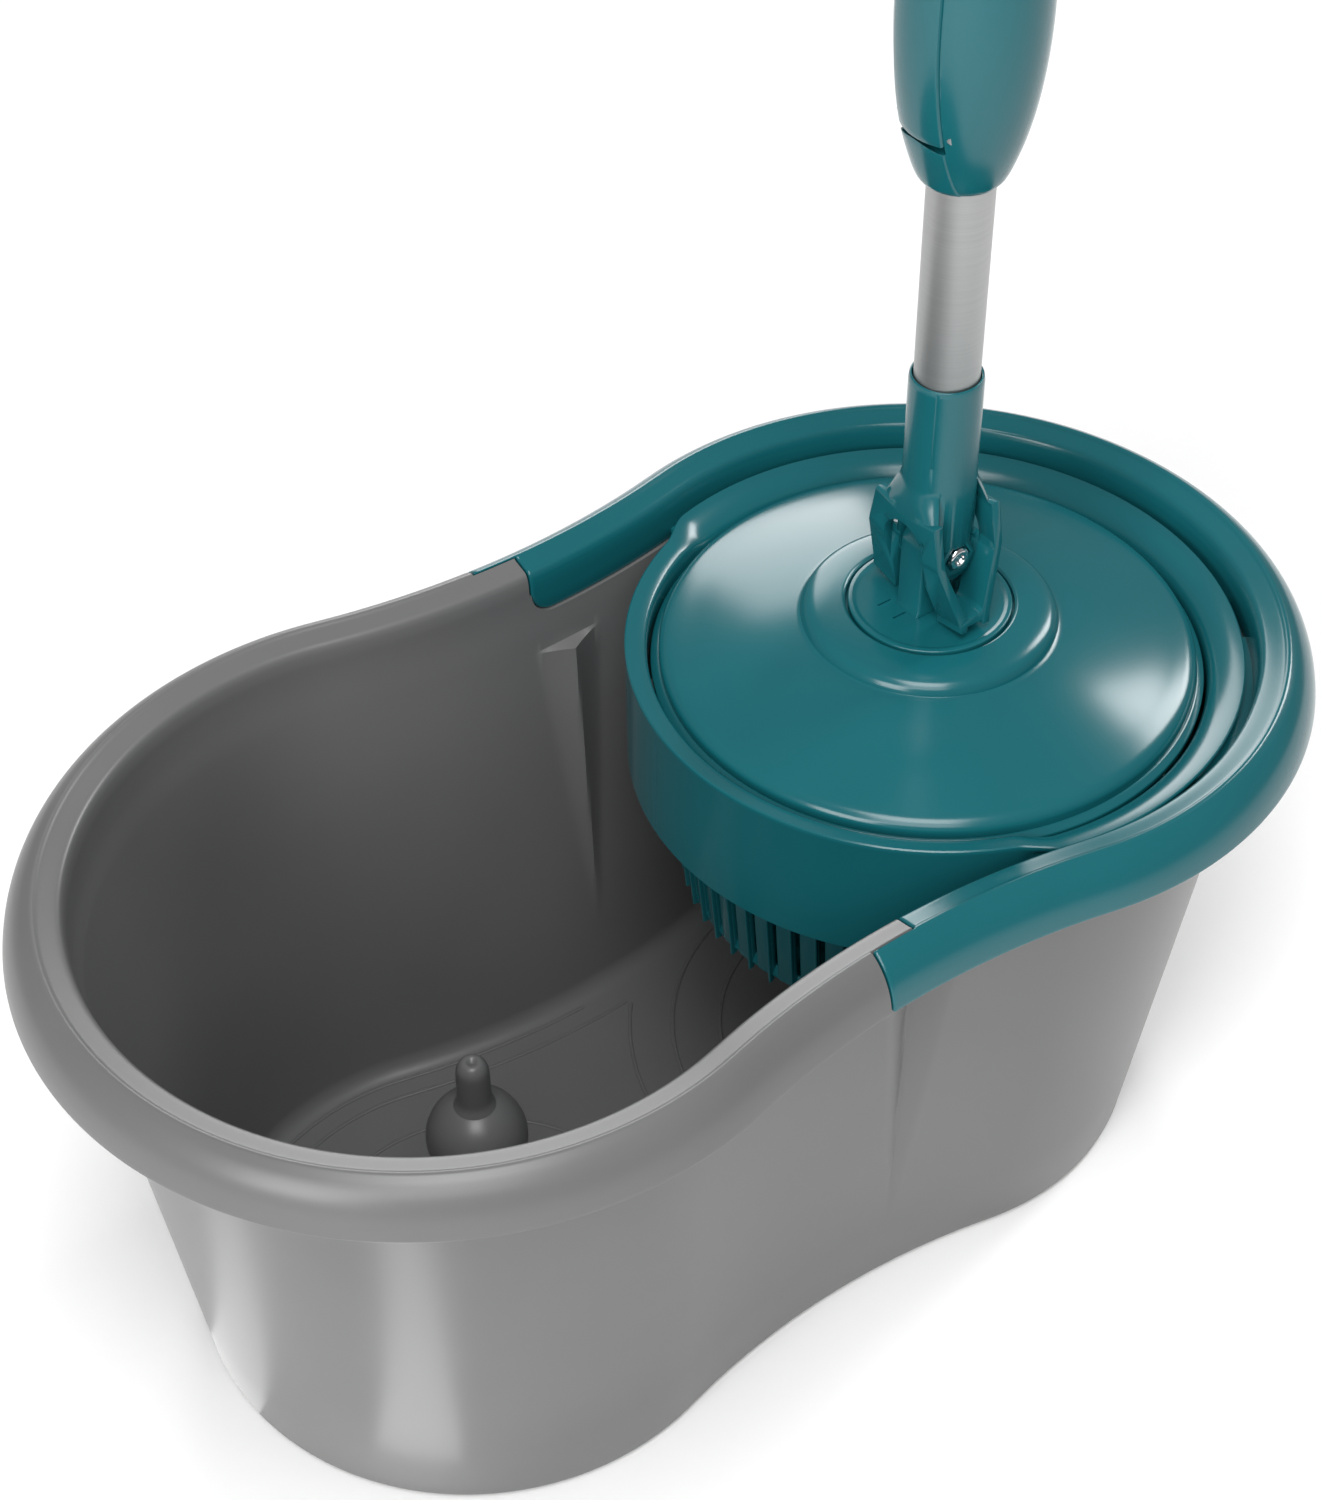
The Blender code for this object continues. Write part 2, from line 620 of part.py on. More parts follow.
def build_refill():
    """The microfibre refill: a ring clipped round the plate's boss and the soft mass of strands under it."""
    tube("refill_ring", 70 * MM, 70 * MM - 27.6 * MM, 165.2 * MM, 168.2 * MM, "white_microfibre")
    strands = (
        (62 * MM, 160.6 * MM),
        (66 * MM, 156 * MM),
        (65 * MM, 128 * MM),
        (61 * MM, 108 * MM),
        (54 * MM, 104 * MM),
        (34 * MM, 104 * MM),
        (27 * MM, 110 * MM),
        (28 * MM, 150 * MM),
        (32 * MM, 160.6 * MM),
    )
    turned("refill_strands", strands, "white_microfibre")


# ---------------------------------------------------------------- lower handle

def build_yoke():
    """Socket for the lower tube over a forked foot whose two ears flare outwards to the disc."""
    bore_z = LOWER_TUBE_Z[0] - GAP
    bore_r = LOWER_TUBE_R + GAP
    socket = (
        (0.0, bore_z),
        (bore_r, bore_z),
        (bore_r, SOCKET_TOP_Z),
        (SOCKET_R, SOCKET_TOP_Z),
        (SOCKET_R, 234 * MM),
        (SOCKET_R - 0.2 * MM, 222 * MM),
        (0.0, 222 * MM),
    )
    yoke = turned("yoke", socket, "teal_plastic", closed=False)
    shoulder = (
        (-9.4 * MM, 231 * MM), (-12.2 * MM, 225 * MM), (-12.2 * MM, 220.6 * MM),
        (12.2 * MM, 220.6 * MM), (12.2 * MM, 225 * MM), (9.4 * MM, 231 * MM),
    )
    bridge = plate("yoke_bridge", shoulder, 23.0 * MM, None)
    bridge.location.x = SPIN_X
    boolean(yoke, bridge, "UNION")
    foot_z = 190.2 * MM
    ear = (
        (-12.2 * MM, 226 * MM), (-11.8 * MM, 213 * MM), (-5.0 * MM, 192.5 * MM), (-4.6 * MM, foot_z),
        (4.6 * MM, foot_z), (5.0 * MM, 192.5 * MM), (11.8 * MM, 213 * MM), (12.2 * MM, 226 * MM),
    )
    window = (
        (-8.8 * MM, 216 * MM), (-8.6 * MM, 212 * MM), (-2.6 * MM, 195.5 * MM),
        (2.6 * MM, 195.5 * MM), (8.6 * MM, 212 * MM), (8.8 * MM, 216 * MM),
    )
    for side, side_name in ((-1, "front"), (1, "rear")):
        top = Matrix.Translation((SPIN_X, side * EAR_TOP_Y, EAR_TOP_Z))
        lean = Matrix.Rotation(side * math.radians(EAR_FLARE_DEG), 4, "X")
        flare = top @ lean @ Matrix.Translation((0.0, 0.0, -EAR_TOP_Z))
        leg = plate(f"yoke_ear_{side_name}", ear, EAR_THICKNESS, None)
        leg.matrix_world = flare
        boolean(yoke, leg, "UNION")
        pocket = plate(f"yoke_window_{side_name}", window, 6 * MM, None)
        pocket.matrix_world = flare @ Matrix.Translation((0.0, side * 3.6 * MM, 0.0))
        boolean(yoke, pocket)
    start = (SPIN_X, -20 * MM, PIVOT_Z)
    boolean(yoke, rod("ear_bores", BOLT_R + GAP, start, 40 * MM, "Y", None, steps=12))


def build_pivot():
    """Bolt with a round head in the front ear's window and a nut in the rear ear's window."""
    length = 2 * BOLT_SEAT_Y + 3.4 * MM
    bolt = rod("pivot_bolt", BOLT_R, (SPIN_X, -BOLT_SEAT_Y - 0.5 * MM, PIVOT_Z), length, "Y", "chrome_steel")
    head = rod("bolt_head", 3.4 * MM, (SPIN_X, -BOLT_SEAT_Y - 2.6 * MM, PIVOT_Z), 2.6 * MM, "Y", None)
    boolean(bolt, head, "UNION")
    nut = rod("pivot_nut", 3.7 * MM, (SPIN_X, BOLT_SEAT_Y, PIVOT_Z), 2.4 * MM, "Y", "chrome_steel", steps=6)
    boolean(nut, rod("nut_bore", BOLT_R + GAP, (SPIN_X, 8 * MM, PIVOT_Z), 12 * MM, "Y", None, steps=12))


def build_lower_tube():
    low, high = LOWER_TUBE_Z
    tube("lower_tube", LOWER_TUBE_R, LOWER_TUBE_WALL, low, high, "satin_steel")
    outer = LOWER_TUBE_R - LOWER_TUBE_WALL - GAP
    housing = (
        (outer, high),
        (outer, NUT_Z[0] - 6 * MM),
        (5.2 * MM, NUT_Z[0] - 6 * MM),
        (5.2 * MM, NUT_Z[0] - GAP),
        (7.1 * MM, NUT_Z[0] - GAP),
        (7.1 * MM, high),
    )
    turned("clutch_housing", housing, "nylon", steps=20)
    tube("clutch_cap", LOWER_TUBE_R, LOWER_TUBE_R - 5.2 * MM, high + GAP, high + 3 * MM, "nylon", steps=20)


# ---------------------------------------------------------------- twist drive

def twisted(name, width, thickness, low, high, finish):
    """A flat section that turns right-handed with height, once in every TWIST_PITCH.

    The points half-way along its wide sides keep the twisted faces close to the true surface.
    """
    steps = max(2, round((high - low) / TWIST_PITCH * BAR_STEPS_PER_TURN))
    corners = ((-1, -1), (0, -1), (1, -1), (1, 1), (0, 1), (-1, 1))
    rings = []
    for i in range(steps + 1):
        z = low + (high - low) * i / steps
        angle = 2 * math.pi * z / TWIST_PITCH
        ring = []
        for sx, sy in corners:
            x = sx * width / 2
            y = sy * thickness / 2
            ring.append((
                SPIN_X + x * math.cos(angle) - y * math.sin(angle),
                x * math.sin(angle) + y * math.cos(angle),
                z,
            ))
        rings.append(ring)
    return loft(name, rings, finish)


def build_drive():
    width, thickness = BAR_SIZE
    twisted("twist_bar", width, thickness, BAR_Z[0], BAR_Z[1], "satin_steel")
    low, high = NUT_Z
    nut = rod("drive_nut", 6.7 * MM, (SPIN_X, 0.0, low), high - low, "Z", "nylon")
    play = 2 * NUT_PLAY
    slot = twisted("nut_slot", width + play, thickness + play, low - 3 * MM, high + 3 * MM, None)
    boolean(nut, slot)


# ---------------------------------------------------------------- upper handle

def grip_profile():
    """Outer half-section of the lock grip, from its top to its neck."""
    points = ((12.6, 478), (13.4, 476), (15.2, 458), (17.8, 434), (19.6, 408), (20.2, 384), (19.6, 368))
    points += ((17.8, 355), (15.2, 345), (12.6, 336.5), (11.2, 333.6), (10.6, 333))
    return [(radius * MM, z * MM) for radius, z in points]


def build_lock_grip():
    """Grip at the foot of the upper tube, with a pocket on its -X side for the lock lever."""
    outer = grip_profile()
    neck_r = LOWER_TUBE_R + GAP
    seat_z = UPPER_TUBE_Z[0] - GAP
    tube_r = UPPER_TUBE_R + GAP
    inner = [(neck_r, GRIP_Z[0]), (neck_r, seat_z), (tube_r, seat_z), (tube_r, GRIP_Z[1])]
    grip = turned("lock_grip", outer + inner, "teal_plastic")
    low = (SPIN_X - 30 * MM, -LEVER_HALF_Y - 0.4 * MM, LEVER_Z[0] - LEVER_SWING_ROOM)
    high = (SPIN_X - 10.4 * MM, LEVER_HALF_Y + 0.4 * MM, UPPER_TUBE_Z[0] - 2 * MM)
    boolean(grip, box("lever_pocket_low", low, high))
    low = (SPIN_X - 30 * MM, -LEVER_HALF_Y - 0.4 * MM, UPPER_TUBE_Z[0] - 3 * MM)
    high = (SPIN_X - 12.8 * MM, LEVER_HALF_Y + 0.4 * MM, LEVER_Z[1] + 0.5 * MM)
    boolean(grip, box("lever_pocket_high", low, high))
    start = (SPIN_X + LEVER_PIVOT_X, -12 * MM, LEVER_PIVOT_Z)
    boolean(grip, rod("pin_bore", 1.2 * MM + GAP, start, 24 * MM, "Y", None, steps=12))
    pin_start = (SPIN_X + LEVER_PIVOT_X, -10.5 * MM, LEVER_PIVOT_Z)
    rod("lever_pin", 1.2 * MM, pin_start, 21 * MM, "Y", "satin_steel", steps=12)


def build_lock_lever():
    """The lever fills the grip's pocket, flush with its skin, and swings out about its lower end."""
    skin = [(0.0, GRIP_Z[1])] + grip_profile() + [(0.0, GRIP_Z[0])]
    lever = turned("lock_lever", skin, "teal_plastic", closed=False)
    low = (SPIN_X - 30 * MM, -LEVER_HALF_Y, LEVER_Z[0])
    high = (SPIN_X - 13.2 * MM, LEVER_HALF_Y, LEVER_Z[1])
    slab = box("lever_slab", low, high)
    low = (SPIN_X - 14 * MM, -LEVER_HALF_Y, LEVER_Z[0] + 0.7 * MM)
    high = (SPIN_X - 11.2 * MM, LEVER_HALF_Y, LEVER_PIVOT_Z + 3 * MM)
    boolean(slab, box("lever_cam", low, high), "UNION")
    boolean(lever, slab, "INTERSECT")
    start = (SPIN_X + LEVER_PIVOT_X, -12 * MM, LEVER_PIVOT_Z)
    boolean(lever, rod("lever_bore", 1.2 * MM + GAP, start, 24 * MM, "Y", None, steps=12))


def build_upper_tube():
    low, high = UPPER_TUBE_Z
    tube("upper_tube", UPPER_TUBE_R, UPPER_TUBE_WALL, low, high, "satin_steel")
    inner = UPPER_TUBE_R - UPPER_TUBE_WALL - GAP
    bore = BAR_SIZE[0] / 2 + 0.5 * MM
    plug = [(0.0, high), (inner, high), (inner, high - 24 * MM), (bore, high - 24 * MM)]
    plug += [(bore, BAR_Z[1] + GAP), (0.0, BAR_Z[1] + GAP)]
    turned("bar_plug", plug, "nylon", steps=20, closed=False)


def build_hand_grip():
    low, high = HAND_GRIP_Z
    bore = UPPER_TUBE_R + GAP
    sleeve = [(13.6 * MM, high), (15.4 * MM, high - 4 * MM), (14.4 * MM, high - 30 * MM)]
    sleeve += [(15.0 * MM, low + 40 * MM), (14.2 * MM, low + 12 * MM), (14.6 * MM, low + 3 * MM)]
    sleeve += [(13.6 * MM, low), (bore, low), (bore, high)]
    turned("hand_grip", sleeve, "teal_plastic")
    base = high + GAP
    cap = [(0.0, CAP_TOP_Z), (6 * MM, CAP_TOP_Z - 1 * MM), (10.5 * MM, CAP_TOP_Z - 6 * MM)]
    cap += [(13.0 * MM, CAP_TOP_Z - 16 * MM), (13.6 * MM, base), (0.0, base)]
    hanger = turned("hang_cap", cap, "teal_plastic", closed=False)
    start = (SPIN_X, -20 * MM, CAP_TOP_Z - 15 * MM)
    boolean(hanger, rod("hang_bore", 5 * MM, start, 40 * MM, "Y", None, steps=20))


build_bucket()
build_collar()
build_wash_post()
build_spindle()
build_basket()
build_mop_plate()
build_hub()
build_refill()
build_yoke()
build_pivot()
build_lower_tube()
build_drive()
build_lock_grip()
build_lock_lever()
build_upper_tube()
build_hand_grip()
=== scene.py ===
"""Spin mop and two-bowl bucket: the finished look, built round the fixed frame of the working model."""
import functools
import json
import math

import bmesh
import bpy
from bpy.props import FloatProperty, FloatVectorProperty, IntProperty, PointerProperty
from mathutils import Matrix, Vector

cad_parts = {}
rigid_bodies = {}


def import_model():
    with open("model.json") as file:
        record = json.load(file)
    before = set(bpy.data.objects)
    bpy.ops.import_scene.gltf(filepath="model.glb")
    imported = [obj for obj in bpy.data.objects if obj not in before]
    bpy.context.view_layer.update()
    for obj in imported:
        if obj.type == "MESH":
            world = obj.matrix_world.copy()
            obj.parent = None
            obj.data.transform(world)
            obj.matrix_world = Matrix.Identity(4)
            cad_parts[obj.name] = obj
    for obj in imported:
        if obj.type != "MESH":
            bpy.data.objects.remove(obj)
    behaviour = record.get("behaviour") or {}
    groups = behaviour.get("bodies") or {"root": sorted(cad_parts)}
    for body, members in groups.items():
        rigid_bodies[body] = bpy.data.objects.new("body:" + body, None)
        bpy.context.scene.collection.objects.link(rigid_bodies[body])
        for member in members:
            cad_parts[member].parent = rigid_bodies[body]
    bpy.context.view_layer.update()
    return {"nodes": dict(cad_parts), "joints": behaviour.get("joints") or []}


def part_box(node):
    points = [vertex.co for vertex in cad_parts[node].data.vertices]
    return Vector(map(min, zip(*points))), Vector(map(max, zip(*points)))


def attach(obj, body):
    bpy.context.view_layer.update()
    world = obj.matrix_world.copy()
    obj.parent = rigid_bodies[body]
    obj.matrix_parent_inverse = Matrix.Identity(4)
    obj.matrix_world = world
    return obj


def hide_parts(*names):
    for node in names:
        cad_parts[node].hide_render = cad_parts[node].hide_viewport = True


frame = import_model()

bl_info = {
    "name": "Spin Mop",
    "version": (1, 0, 0),
    "blender": (4, 5, 0),
    "location": "View3D > Sidebar > Spin Mop",
    "description": "Builds a spin mop standing in its bucket, piece by piece",
    "category": "Object",
}

MM = 0.001

# ---------------------------------------------------------------- places read from the frame


def node_box(name):
    low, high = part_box(name)
    return Vector(low), Vector(high)


def node_axis(name):
    low, high = node_box(name)
    return (low.x + high.x) / 2


BUCKET_LOW, BUCKET_HIGH = node_box("bucket")
COLLAR_LOW, COLLAR_HIGH = node_box("spinner_collar")
SPIN_X = node_axis("basket")
WASH_X = node_axis("wash_post")
PIVOT_Z = next(joint["pos_m"][2] for joint in frame["joints"] if joint["name"] == "handle_tilt")
LEVER_PIVOT = next(Vector(joint["pos_m"]) for joint in frame["joints"] if joint["name"] == "lever_open")
RIM_TOP_Z = BUCKET_HIGH.z
HUB_TOP_Z = node_box("mop_plate")[1].z + 0.3 * MM

# An outline is (front x, front radius, rear x, rear radius, waist radius)
RIM_OUTLINE = (-86.5 * MM, -86.5 * MM - BUCKET_LOW.x, SPIN_X, COLLAR_HIGH.x - SPIN_X, 258.9 * MM)
BASE_OUTLINE = (-80.0 * MM, 85.5 * MM, 77.3 * MM, 83.3 * MM, 252.0 * MM)
RIM_OVERHANG = 16.0 * MM
WALL_TOP_Z = RIM_TOP_Z - 9.5 * MM


# ---------------------------------------------------------------- shader maths

class Value:
    """A socket that takes part in Python sums: every operator adds the node that works it out."""

    def __init__(self, graph, socket):
        self.graph = graph
        self.socket = socket

    def _math(self, operation, other):
        return self.graph.node("ShaderNodeMath", {"operation": operation}, {0: self, 1: other})

    def __add__(self, other):
        return self._math("ADD", other)

    __radd__ = __add__

    def __mul__(self, other):
        return self._math("MULTIPLY", other)

    __rmul__ = __mul__

    def remap(self, low, high, to_low=0.0, to_high=1.0):
        values = {"Value": self, "From Min": low, "From Max": high, "To Min": to_low, "To Max": to_high}
        return self.graph.node("ShaderNodeMapRange", {"interpolation_type": "SMOOTHSTEP"}, values)


class Finish:
    """A material whose nodes are laid out from left to right as they are made."""

    def __init__(self, name):
        self.material = bpy.data.materials.new(name)
        self.material.use_nodes = True
        self.tree = self.material.node_tree
        self.tree.nodes.clear()
        self.count = 0

    def node(self, kind, settings=None, values=None, output=0):
        made = self.tree.nodes.new(kind)
        made.location = (self.count * 180, 0)
        self.count += 1
        for name, setting in (settings or {}).items():
            setattr(made, name, setting)
        for name, value in (values or {}).items():
            if isinstance(value, Value):
                self.tree.links.new(value.socket, made.inputs[name])
            else:
                made.inputs[name].default_value = value
        return Value(self, made.outputs[output]) if made.outputs else None

    def noise(self, scale, detail=3.0, roughness=0.5, stretch=(1.0, 1.0, 1.0)):
        """Noise over the object's own coordinates, which can be stretched."""
        where = self.node("ShaderNodeTexCoord", output=3)
        where = self.node("ShaderNodeMapping", None, {"Vector": where, "Scale": stretch})
        values = {"Vector": where, "Scale": scale, "Detail": detail, "Roughness": roughness}
        return self.node("ShaderNodeTexNoise", None, values)

    def shade(self, factor, colour, dark, light):
        """A colour that wanders between two shades of itself."""
        first, second = (tuple(channel * share for channel in colour[:3]) + (1.0,) for share in (dark, light))
        values = {"Factor": factor, 6: first, 7: second}
        return self.node("ShaderNodeMix", {"data_type": "RGBA"}, values, output=2)

    def bump(self, height, strength, distance):
        values = {"Height": height, "Strength": strength, "Distance": distance}
        return self.node("ShaderNodeBump", None, values)

    def surface(self, **values):
        named = {name.replace("_", " "): value for name, value in values.items()}
        shader = self.node("ShaderNodeBsdfPrincipled", None, named)
        self.node("ShaderNodeOutputMaterial", None, {"Surface": shader})
        return self.material


def moulded_plastic(name, colour, roughness):
    """Injection-moulded polypropylene: a very fine skin, slow flow shading and a few faint scuffs."""
    finish = Finish(name)
    flow = finish.noise(14.0, 2.0)
    skin = finish.noise(2600.0, 2.0)
    ripple = finish.noise(95.0, 1.0)
    scuffs = finish.noise(2.0, 4.0, 0.7, (40.0, 40.0, 260.0)).remap(0.62, 0.8)
    return finish.surface(
        Base_Color=finish.shade(flow.remap(0.3, 0.7), colour, 0.965, 1.035),
        Roughness=roughness + 0.035 * flow + 0.05 * scuffs + 0.02 * skin,
        Normal=finish.bump(skin * 0.25 + ripple, 0.18, 0.00004),
        IOR=1.49,
    )


def satin_steel(name, colour, roughness):
    """Drawn stainless tube: fine lines round it, and slow changes of gloss along it."""
    finish = Finish(name)
    lines = finish.noise(1.0, 3.0, 0.6, (30.0, 30.0, 2400.0))
    slow = finish.noise(22.0, 2.0)
    return finish.surface(
        Base_Color=finish.shade(lines.remap(0.3, 0.7), colour, 0.93, 1.0),
        Metallic=1.0,
        Roughness=roughness + 0.09 * lines + 0.05 * slow,
        Normal=finish.bump(lines, 0.12, 0.00002),
    )


def bright_chrome(name, colour):
    """Plated bolt: nearly a mirror, with a little haze and tiny pits."""
    finish = Finish(name)
    haze = finish.noise(420.0)
    return finish.surface(
        Base_Color=finish.shade(haze.remap(0.35, 0.65), colour, 0.94, 1.0),
        Metallic=1.0,
        Roughness=haze.remap(0.3, 0.8, 0.07, 0.18),
        Normal=finish.bump(haze, 0.1, 0.00003),
    )


def microfibre(name, colour):
    """Looped microfibre yarn: fuzzy, with twisted plies and painted shade in the hollows between them."""
    finish = Finish(name)
    plies = finish.noise(1.0, 3.0, 0.6, (900.0, 900.0, 520.0))
    fuzz = finish.noise(5200.0, 3.0, 0.7)
    clumps = finish.noise(70.0, 2.0)
    return finish.surface(
        # painted shade: the yarn's colour darkens where the plies sink, standing in for shade in the hollows
        # between them
        Base_Color=finish.shade((plies * 0.6 + clumps * 0.4).remap(0.3, 0.66), colour, 0.72, 1.05),
        Roughness=fuzz.remap(0.2, 0.8, 0.86, 1.0),
        Normal=finish.bump(plies + fuzz * 0.4, 0.7, 0.0004),
        Sheen_Weight=0.4,
        Sheen_Roughness=0.5,
        Subsurface_Weight=0.08,
        Subsurface_Scale=0.002,
    )


def natural_nylon(name, colour):
    """Cloudy unpigmented nylon of the hidden bushes and washers."""
    finish = Finish(name)
    cloud = finish.noise(160.0)
    return finish.surface(
        Base_Color=finish.shade(cloud.remap(0.3, 0.7), colour, 0.92, 1.05),
        Roughness=cloud.remap(0.2, 0.8, 0.38, 0.55),
        Normal=finish.bump(cloud, 0.2, 0.00006),
        Subsurface_Weight=0.15,
        Subsurface_Scale=0.003,
    )


def studio_paper(name, colour, glow):
    """Matt seamless paper of the floor, with a faint light of its own."""
    finish = Finish(name)
    base = finish.shade(finish.noise(180.0, 4.0).remap(0.3, 0.7), colour, 0.995, 1.0)
    return finish.surface(Base_Color=base, Roughness=0.9, Emission_Color=base, Emission_Strength=glow)


MATERIALS = {}


def finish_for(slot):
    """The one material of each slot, made when first asked for."""
    if slot not in MATERIALS:
        look = bpy.context.scene.spin_mop_finish
        maker, *values = {
            "teal_plastic": (moulded_plastic, look.teal, look.teal_roughness),
            "grey_plastic": (moulded_plastic, look.grey, look.grey_roughness),
            "white_microfibre": (microfibre, look.yarn),
            "satin_steel": (satin_steel, look.steel, look.steel_roughness),
            "chrome_steel": (bright_chrome, look.chrome),
            "nylon": (natural_nylon, look.nylon),
        }[slot]
        MATERIALS[slot] = maker(slot, *values)
    return MATERIALS[slot]


# ---------------------------------------------------------------- mesh helpers

def mesh_object(name, bm, slot, sharp=32.0):
    """A finished object at the origin, smooth but for edges sharper than the given angle."""
    mesh = bpy.data.meshes.new(name)
    bm.to_mesh(mesh)
    bm.free()
    mesh.shade_smooth()
    mesh.set_sharp_from_angle(angle=math.radians(sharp))
    obj = bpy.data.objects.new(name, mesh)
    bpy.context.scene.collection.objects.link(obj)
    if slot:
        mesh.materials.append(finish_for(slot))
    return obj


def settle(obj):
    """Applies modifiers and placing, so that the object is a plain mesh at the origin."""
    bpy.context.view_layer.update()
    evaluated = obj.evaluated_get(bpy.context.evaluated_depsgraph_get())
    mesh = bpy.data.meshes.new_from_object(evaluated)
    mesh.transform(obj.matrix_world)
    obj.modifiers.clear()
    obj.data = mesh
    obj.matrix_world = Matrix.Identity(4)
    return obj


def finish_piece(obj, body, slot, *nodes):
    """Hands a piece over to the frame: what it rides on, and the solids that it stands for; the finish that
    it is given is not used.
    """
    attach(obj, body)
    if nodes:
        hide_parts(*nodes)


def rounded(points, steps=5):
    """A profile with corners: each point is (radius, height) or (radius, height, corner radius)."""
    result = []
    count = len(points)
    for i, point in enumerate(points):
        corner = Vector(point[:2])
        radius = point[2] if len(point) > 2 else 0.0
        if radius == 0.0:
            result.append(tuple(corner))
            continue
        before = Vector(points[i - 1][:2]) - corner
        after = Vector(points[(i + 1) % count][:2]) - corner
        half = before.angle(after) / 2
        reach = min(radius / math.tan(half), 0.49 * before.length, 0.49 * after.length)
        start = corner + before.normalized() * reach
        end = corner + after.normalized() * reach
        for step in range(steps + 1):
            t = step / steps
            result.append(tuple(start.lerp(corner, t).lerp(corner.lerp(end, t), t)))
    return result


def in_mm(points):
    """Points given in millimetres, in metres."""
    return [tuple(value * MM for value in point) for point in points]


def at(x, y, z):
    """A place given in millimetres from the foot of the spinner's axis."""
    return Vector((SPIN_X + x * MM, y * MM, z * MM))


def arc(radius, height, angles):
    """(x, z) points on a circle round x = 0 at a height."""
    return [(radius * math.cos(angle), height + radius * math.sin(angle)) for angle in angles]


def smooth_curve(points, steps=6):
    """A Catmull-Rom curve through points; each end point counts twice."""
    result = []
    for i in range(len(points) - 1):
        p0 = Vector(points[max(i - 1, 0)])
        p1 = Vector(points[i])
        p2 = Vector(points[i + 1])
        p3 = Vector(points[min(i + 2, len(points) - 1)])
        for step in range(steps):
            t = step / steps
            spot = 0.5 * (2 * p1 + (p2 - p0) * t + (2 * p0 - 5 * p1 + 4 * p2 - p3) * t ** 2
                          + (3 * p1 - p0 - 3 * p2 + p3) * t ** 3)
            result.append(tuple(spot))
    result.append(tuple(points[-1]))
    return result


def band_faces(bm, rings):
    """Faces between neighbouring rings of vertices; a ring of one vertex closes with a fan."""
    pairs = list(zip(rings, rings[1:]))
    if len(rings[0]) > 1 or len(rings[-1]) > 1:
        pairs.append((rings[-1], rings[0]))
    for upper, lower in pairs:
        count = max(len(upper), len(lower))
        for i in range(count):
            j = (i + 1) % count
            above = (upper[i % len(upper)], upper[j % len(upper)])
            below = (lower[i % len(lower)], lower[j % len(lower)])
            corners = tuple(dict.fromkeys((above[0], *below, above[1])))
            if len(corners) > 2:
                bm.faces.new(corners)


def turned(name, profile, slot, x=SPIN_X, steps=96, sharp=32.0):
    """A closed profile of (radius, height) in millimetres, turned about a vertical line.

    It runs down the outer side. If it starts and ends on the line, it closes there with a fan of triangles.
    """
    bm = bmesh.new()
    rings = []
    for radius, height in in_mm(profile):
        count = steps if radius > 0.0 else 1
        turns = [2 * math.pi * i / steps for i in range(count)]
        rings.append([bm.verts.new((x + radius * math.cos(t), radius * math.sin(t), height)) for t in turns])
    band_faces(bm, rings)
    return mesh_object(name, bm, slot, sharp)


def turned_piece(name, profile, slot, body, node, x=SPIN_X, steps=96, sharp=32.0):
    """A turned piece that is handed over as it is."""
    finish_piece(turned(name, profile, slot, x, steps, sharp), body, slot, node)


def wall_faces(bm, rows, closed=False):
    """Quads between neighbouring rings of vertices, with flat ends unless the rings close up."""
    count = len(rows[0])
    pairs = list(zip(rows, rows[1:]))
    if closed:
        pairs.append((rows[-1], rows[0]))
    for lower, upper in pairs:
        for i in range(count):
            j = (i + 1) % count
            bm.faces.new((lower[i], lower[j], upper[j], upper[i]))
    if not closed:
        bm.faces.new(rows[0][::-1])
        bm.faces.new(rows[-1])


def lofted(name, rings, slot, closed=False, sharp=32.0):
    """Faces between equal rings of points; closed joins the last ring to the first."""
    bm = bmesh.new()
    wall_faces(bm, [[bm.verts.new(point) for point in ring] for ring in rings], closed)
    bmesh.ops.recalc_face_normals(bm, faces=bm.faces)
    return mesh_object(name, bm, slot, sharp)


def block(name, low, high, slot=None):
    bm = bmesh.new()
    bmesh.ops.create_cube(bm, size=1.0)
    low, high = Vector(low), Vector(high)
    bmesh.ops.scale(bm, vec=high - low, verts=bm.verts)
    bmesh.ops.translate(bm, vec=(low + high) / 2, verts=bm.verts)
    return mesh_object(name, bm, slot)


def rod(name, radius, start, end, slot=None, steps=48):
    """A straight round bar between two points; its radius is in millimetres."""
    start, end = Vector(start), Vector(end)
    along = end - start
    bm = bmesh.new()
    radius *= MM
    bmesh.ops.create_cone(
        bm, cap_ends=True, segments=steps, radius1=radius, radius2=radius, depth=along.length,
    )
    turn = along.to_track_quat("Z", "Y").to_matrix().to_4x4()
    bmesh.ops.transform(bm, matrix=Matrix.Translation((start + end) / 2) @ turn, verts=bm.verts)
    return mesh_object(name, bm, slot)


def slab(name, outline, thickness, matrix, slot=None):
    """An outline of (x, z) in millimetres, extruded evenly to both sides of y = 0 and placed by a matrix."""
    bm = bmesh.new()
    thickness *= MM
    points = [bm.verts.new((x, -thickness / 2, z)) for x, z in in_mm(outline)]
    face = bm.faces.new(points)
    grown = bmesh.ops.extrude_face_region(bm, geom=[face])["geom"]
    moved = [item for item in grown if isinstance(item, bmesh.types.BMVert)]
    bmesh.ops.translate(bm, vec=(0.0, thickness, 0.0), verts=moved)
    bmesh.ops.recalc_face_normals(bm, faces=bm.faces)
    bmesh.ops.transform(bm, matrix=matrix, verts=bm.verts)
    return mesh_object(name, bm, slot)


def combine(obj, others, operation):
    """Exact Boolean with several helpers, which are then removed."""
    for other in others:
        modifier = obj.modifiers.new(operation.lower(), "BOOLEAN")
        modifier.operation = operation
        modifier.solver = "EXACT"
        modifier.object = other
    settle(obj)
    for other in others:
        bpy.data.objects.remove(other, do_unlink=True)
    return obj


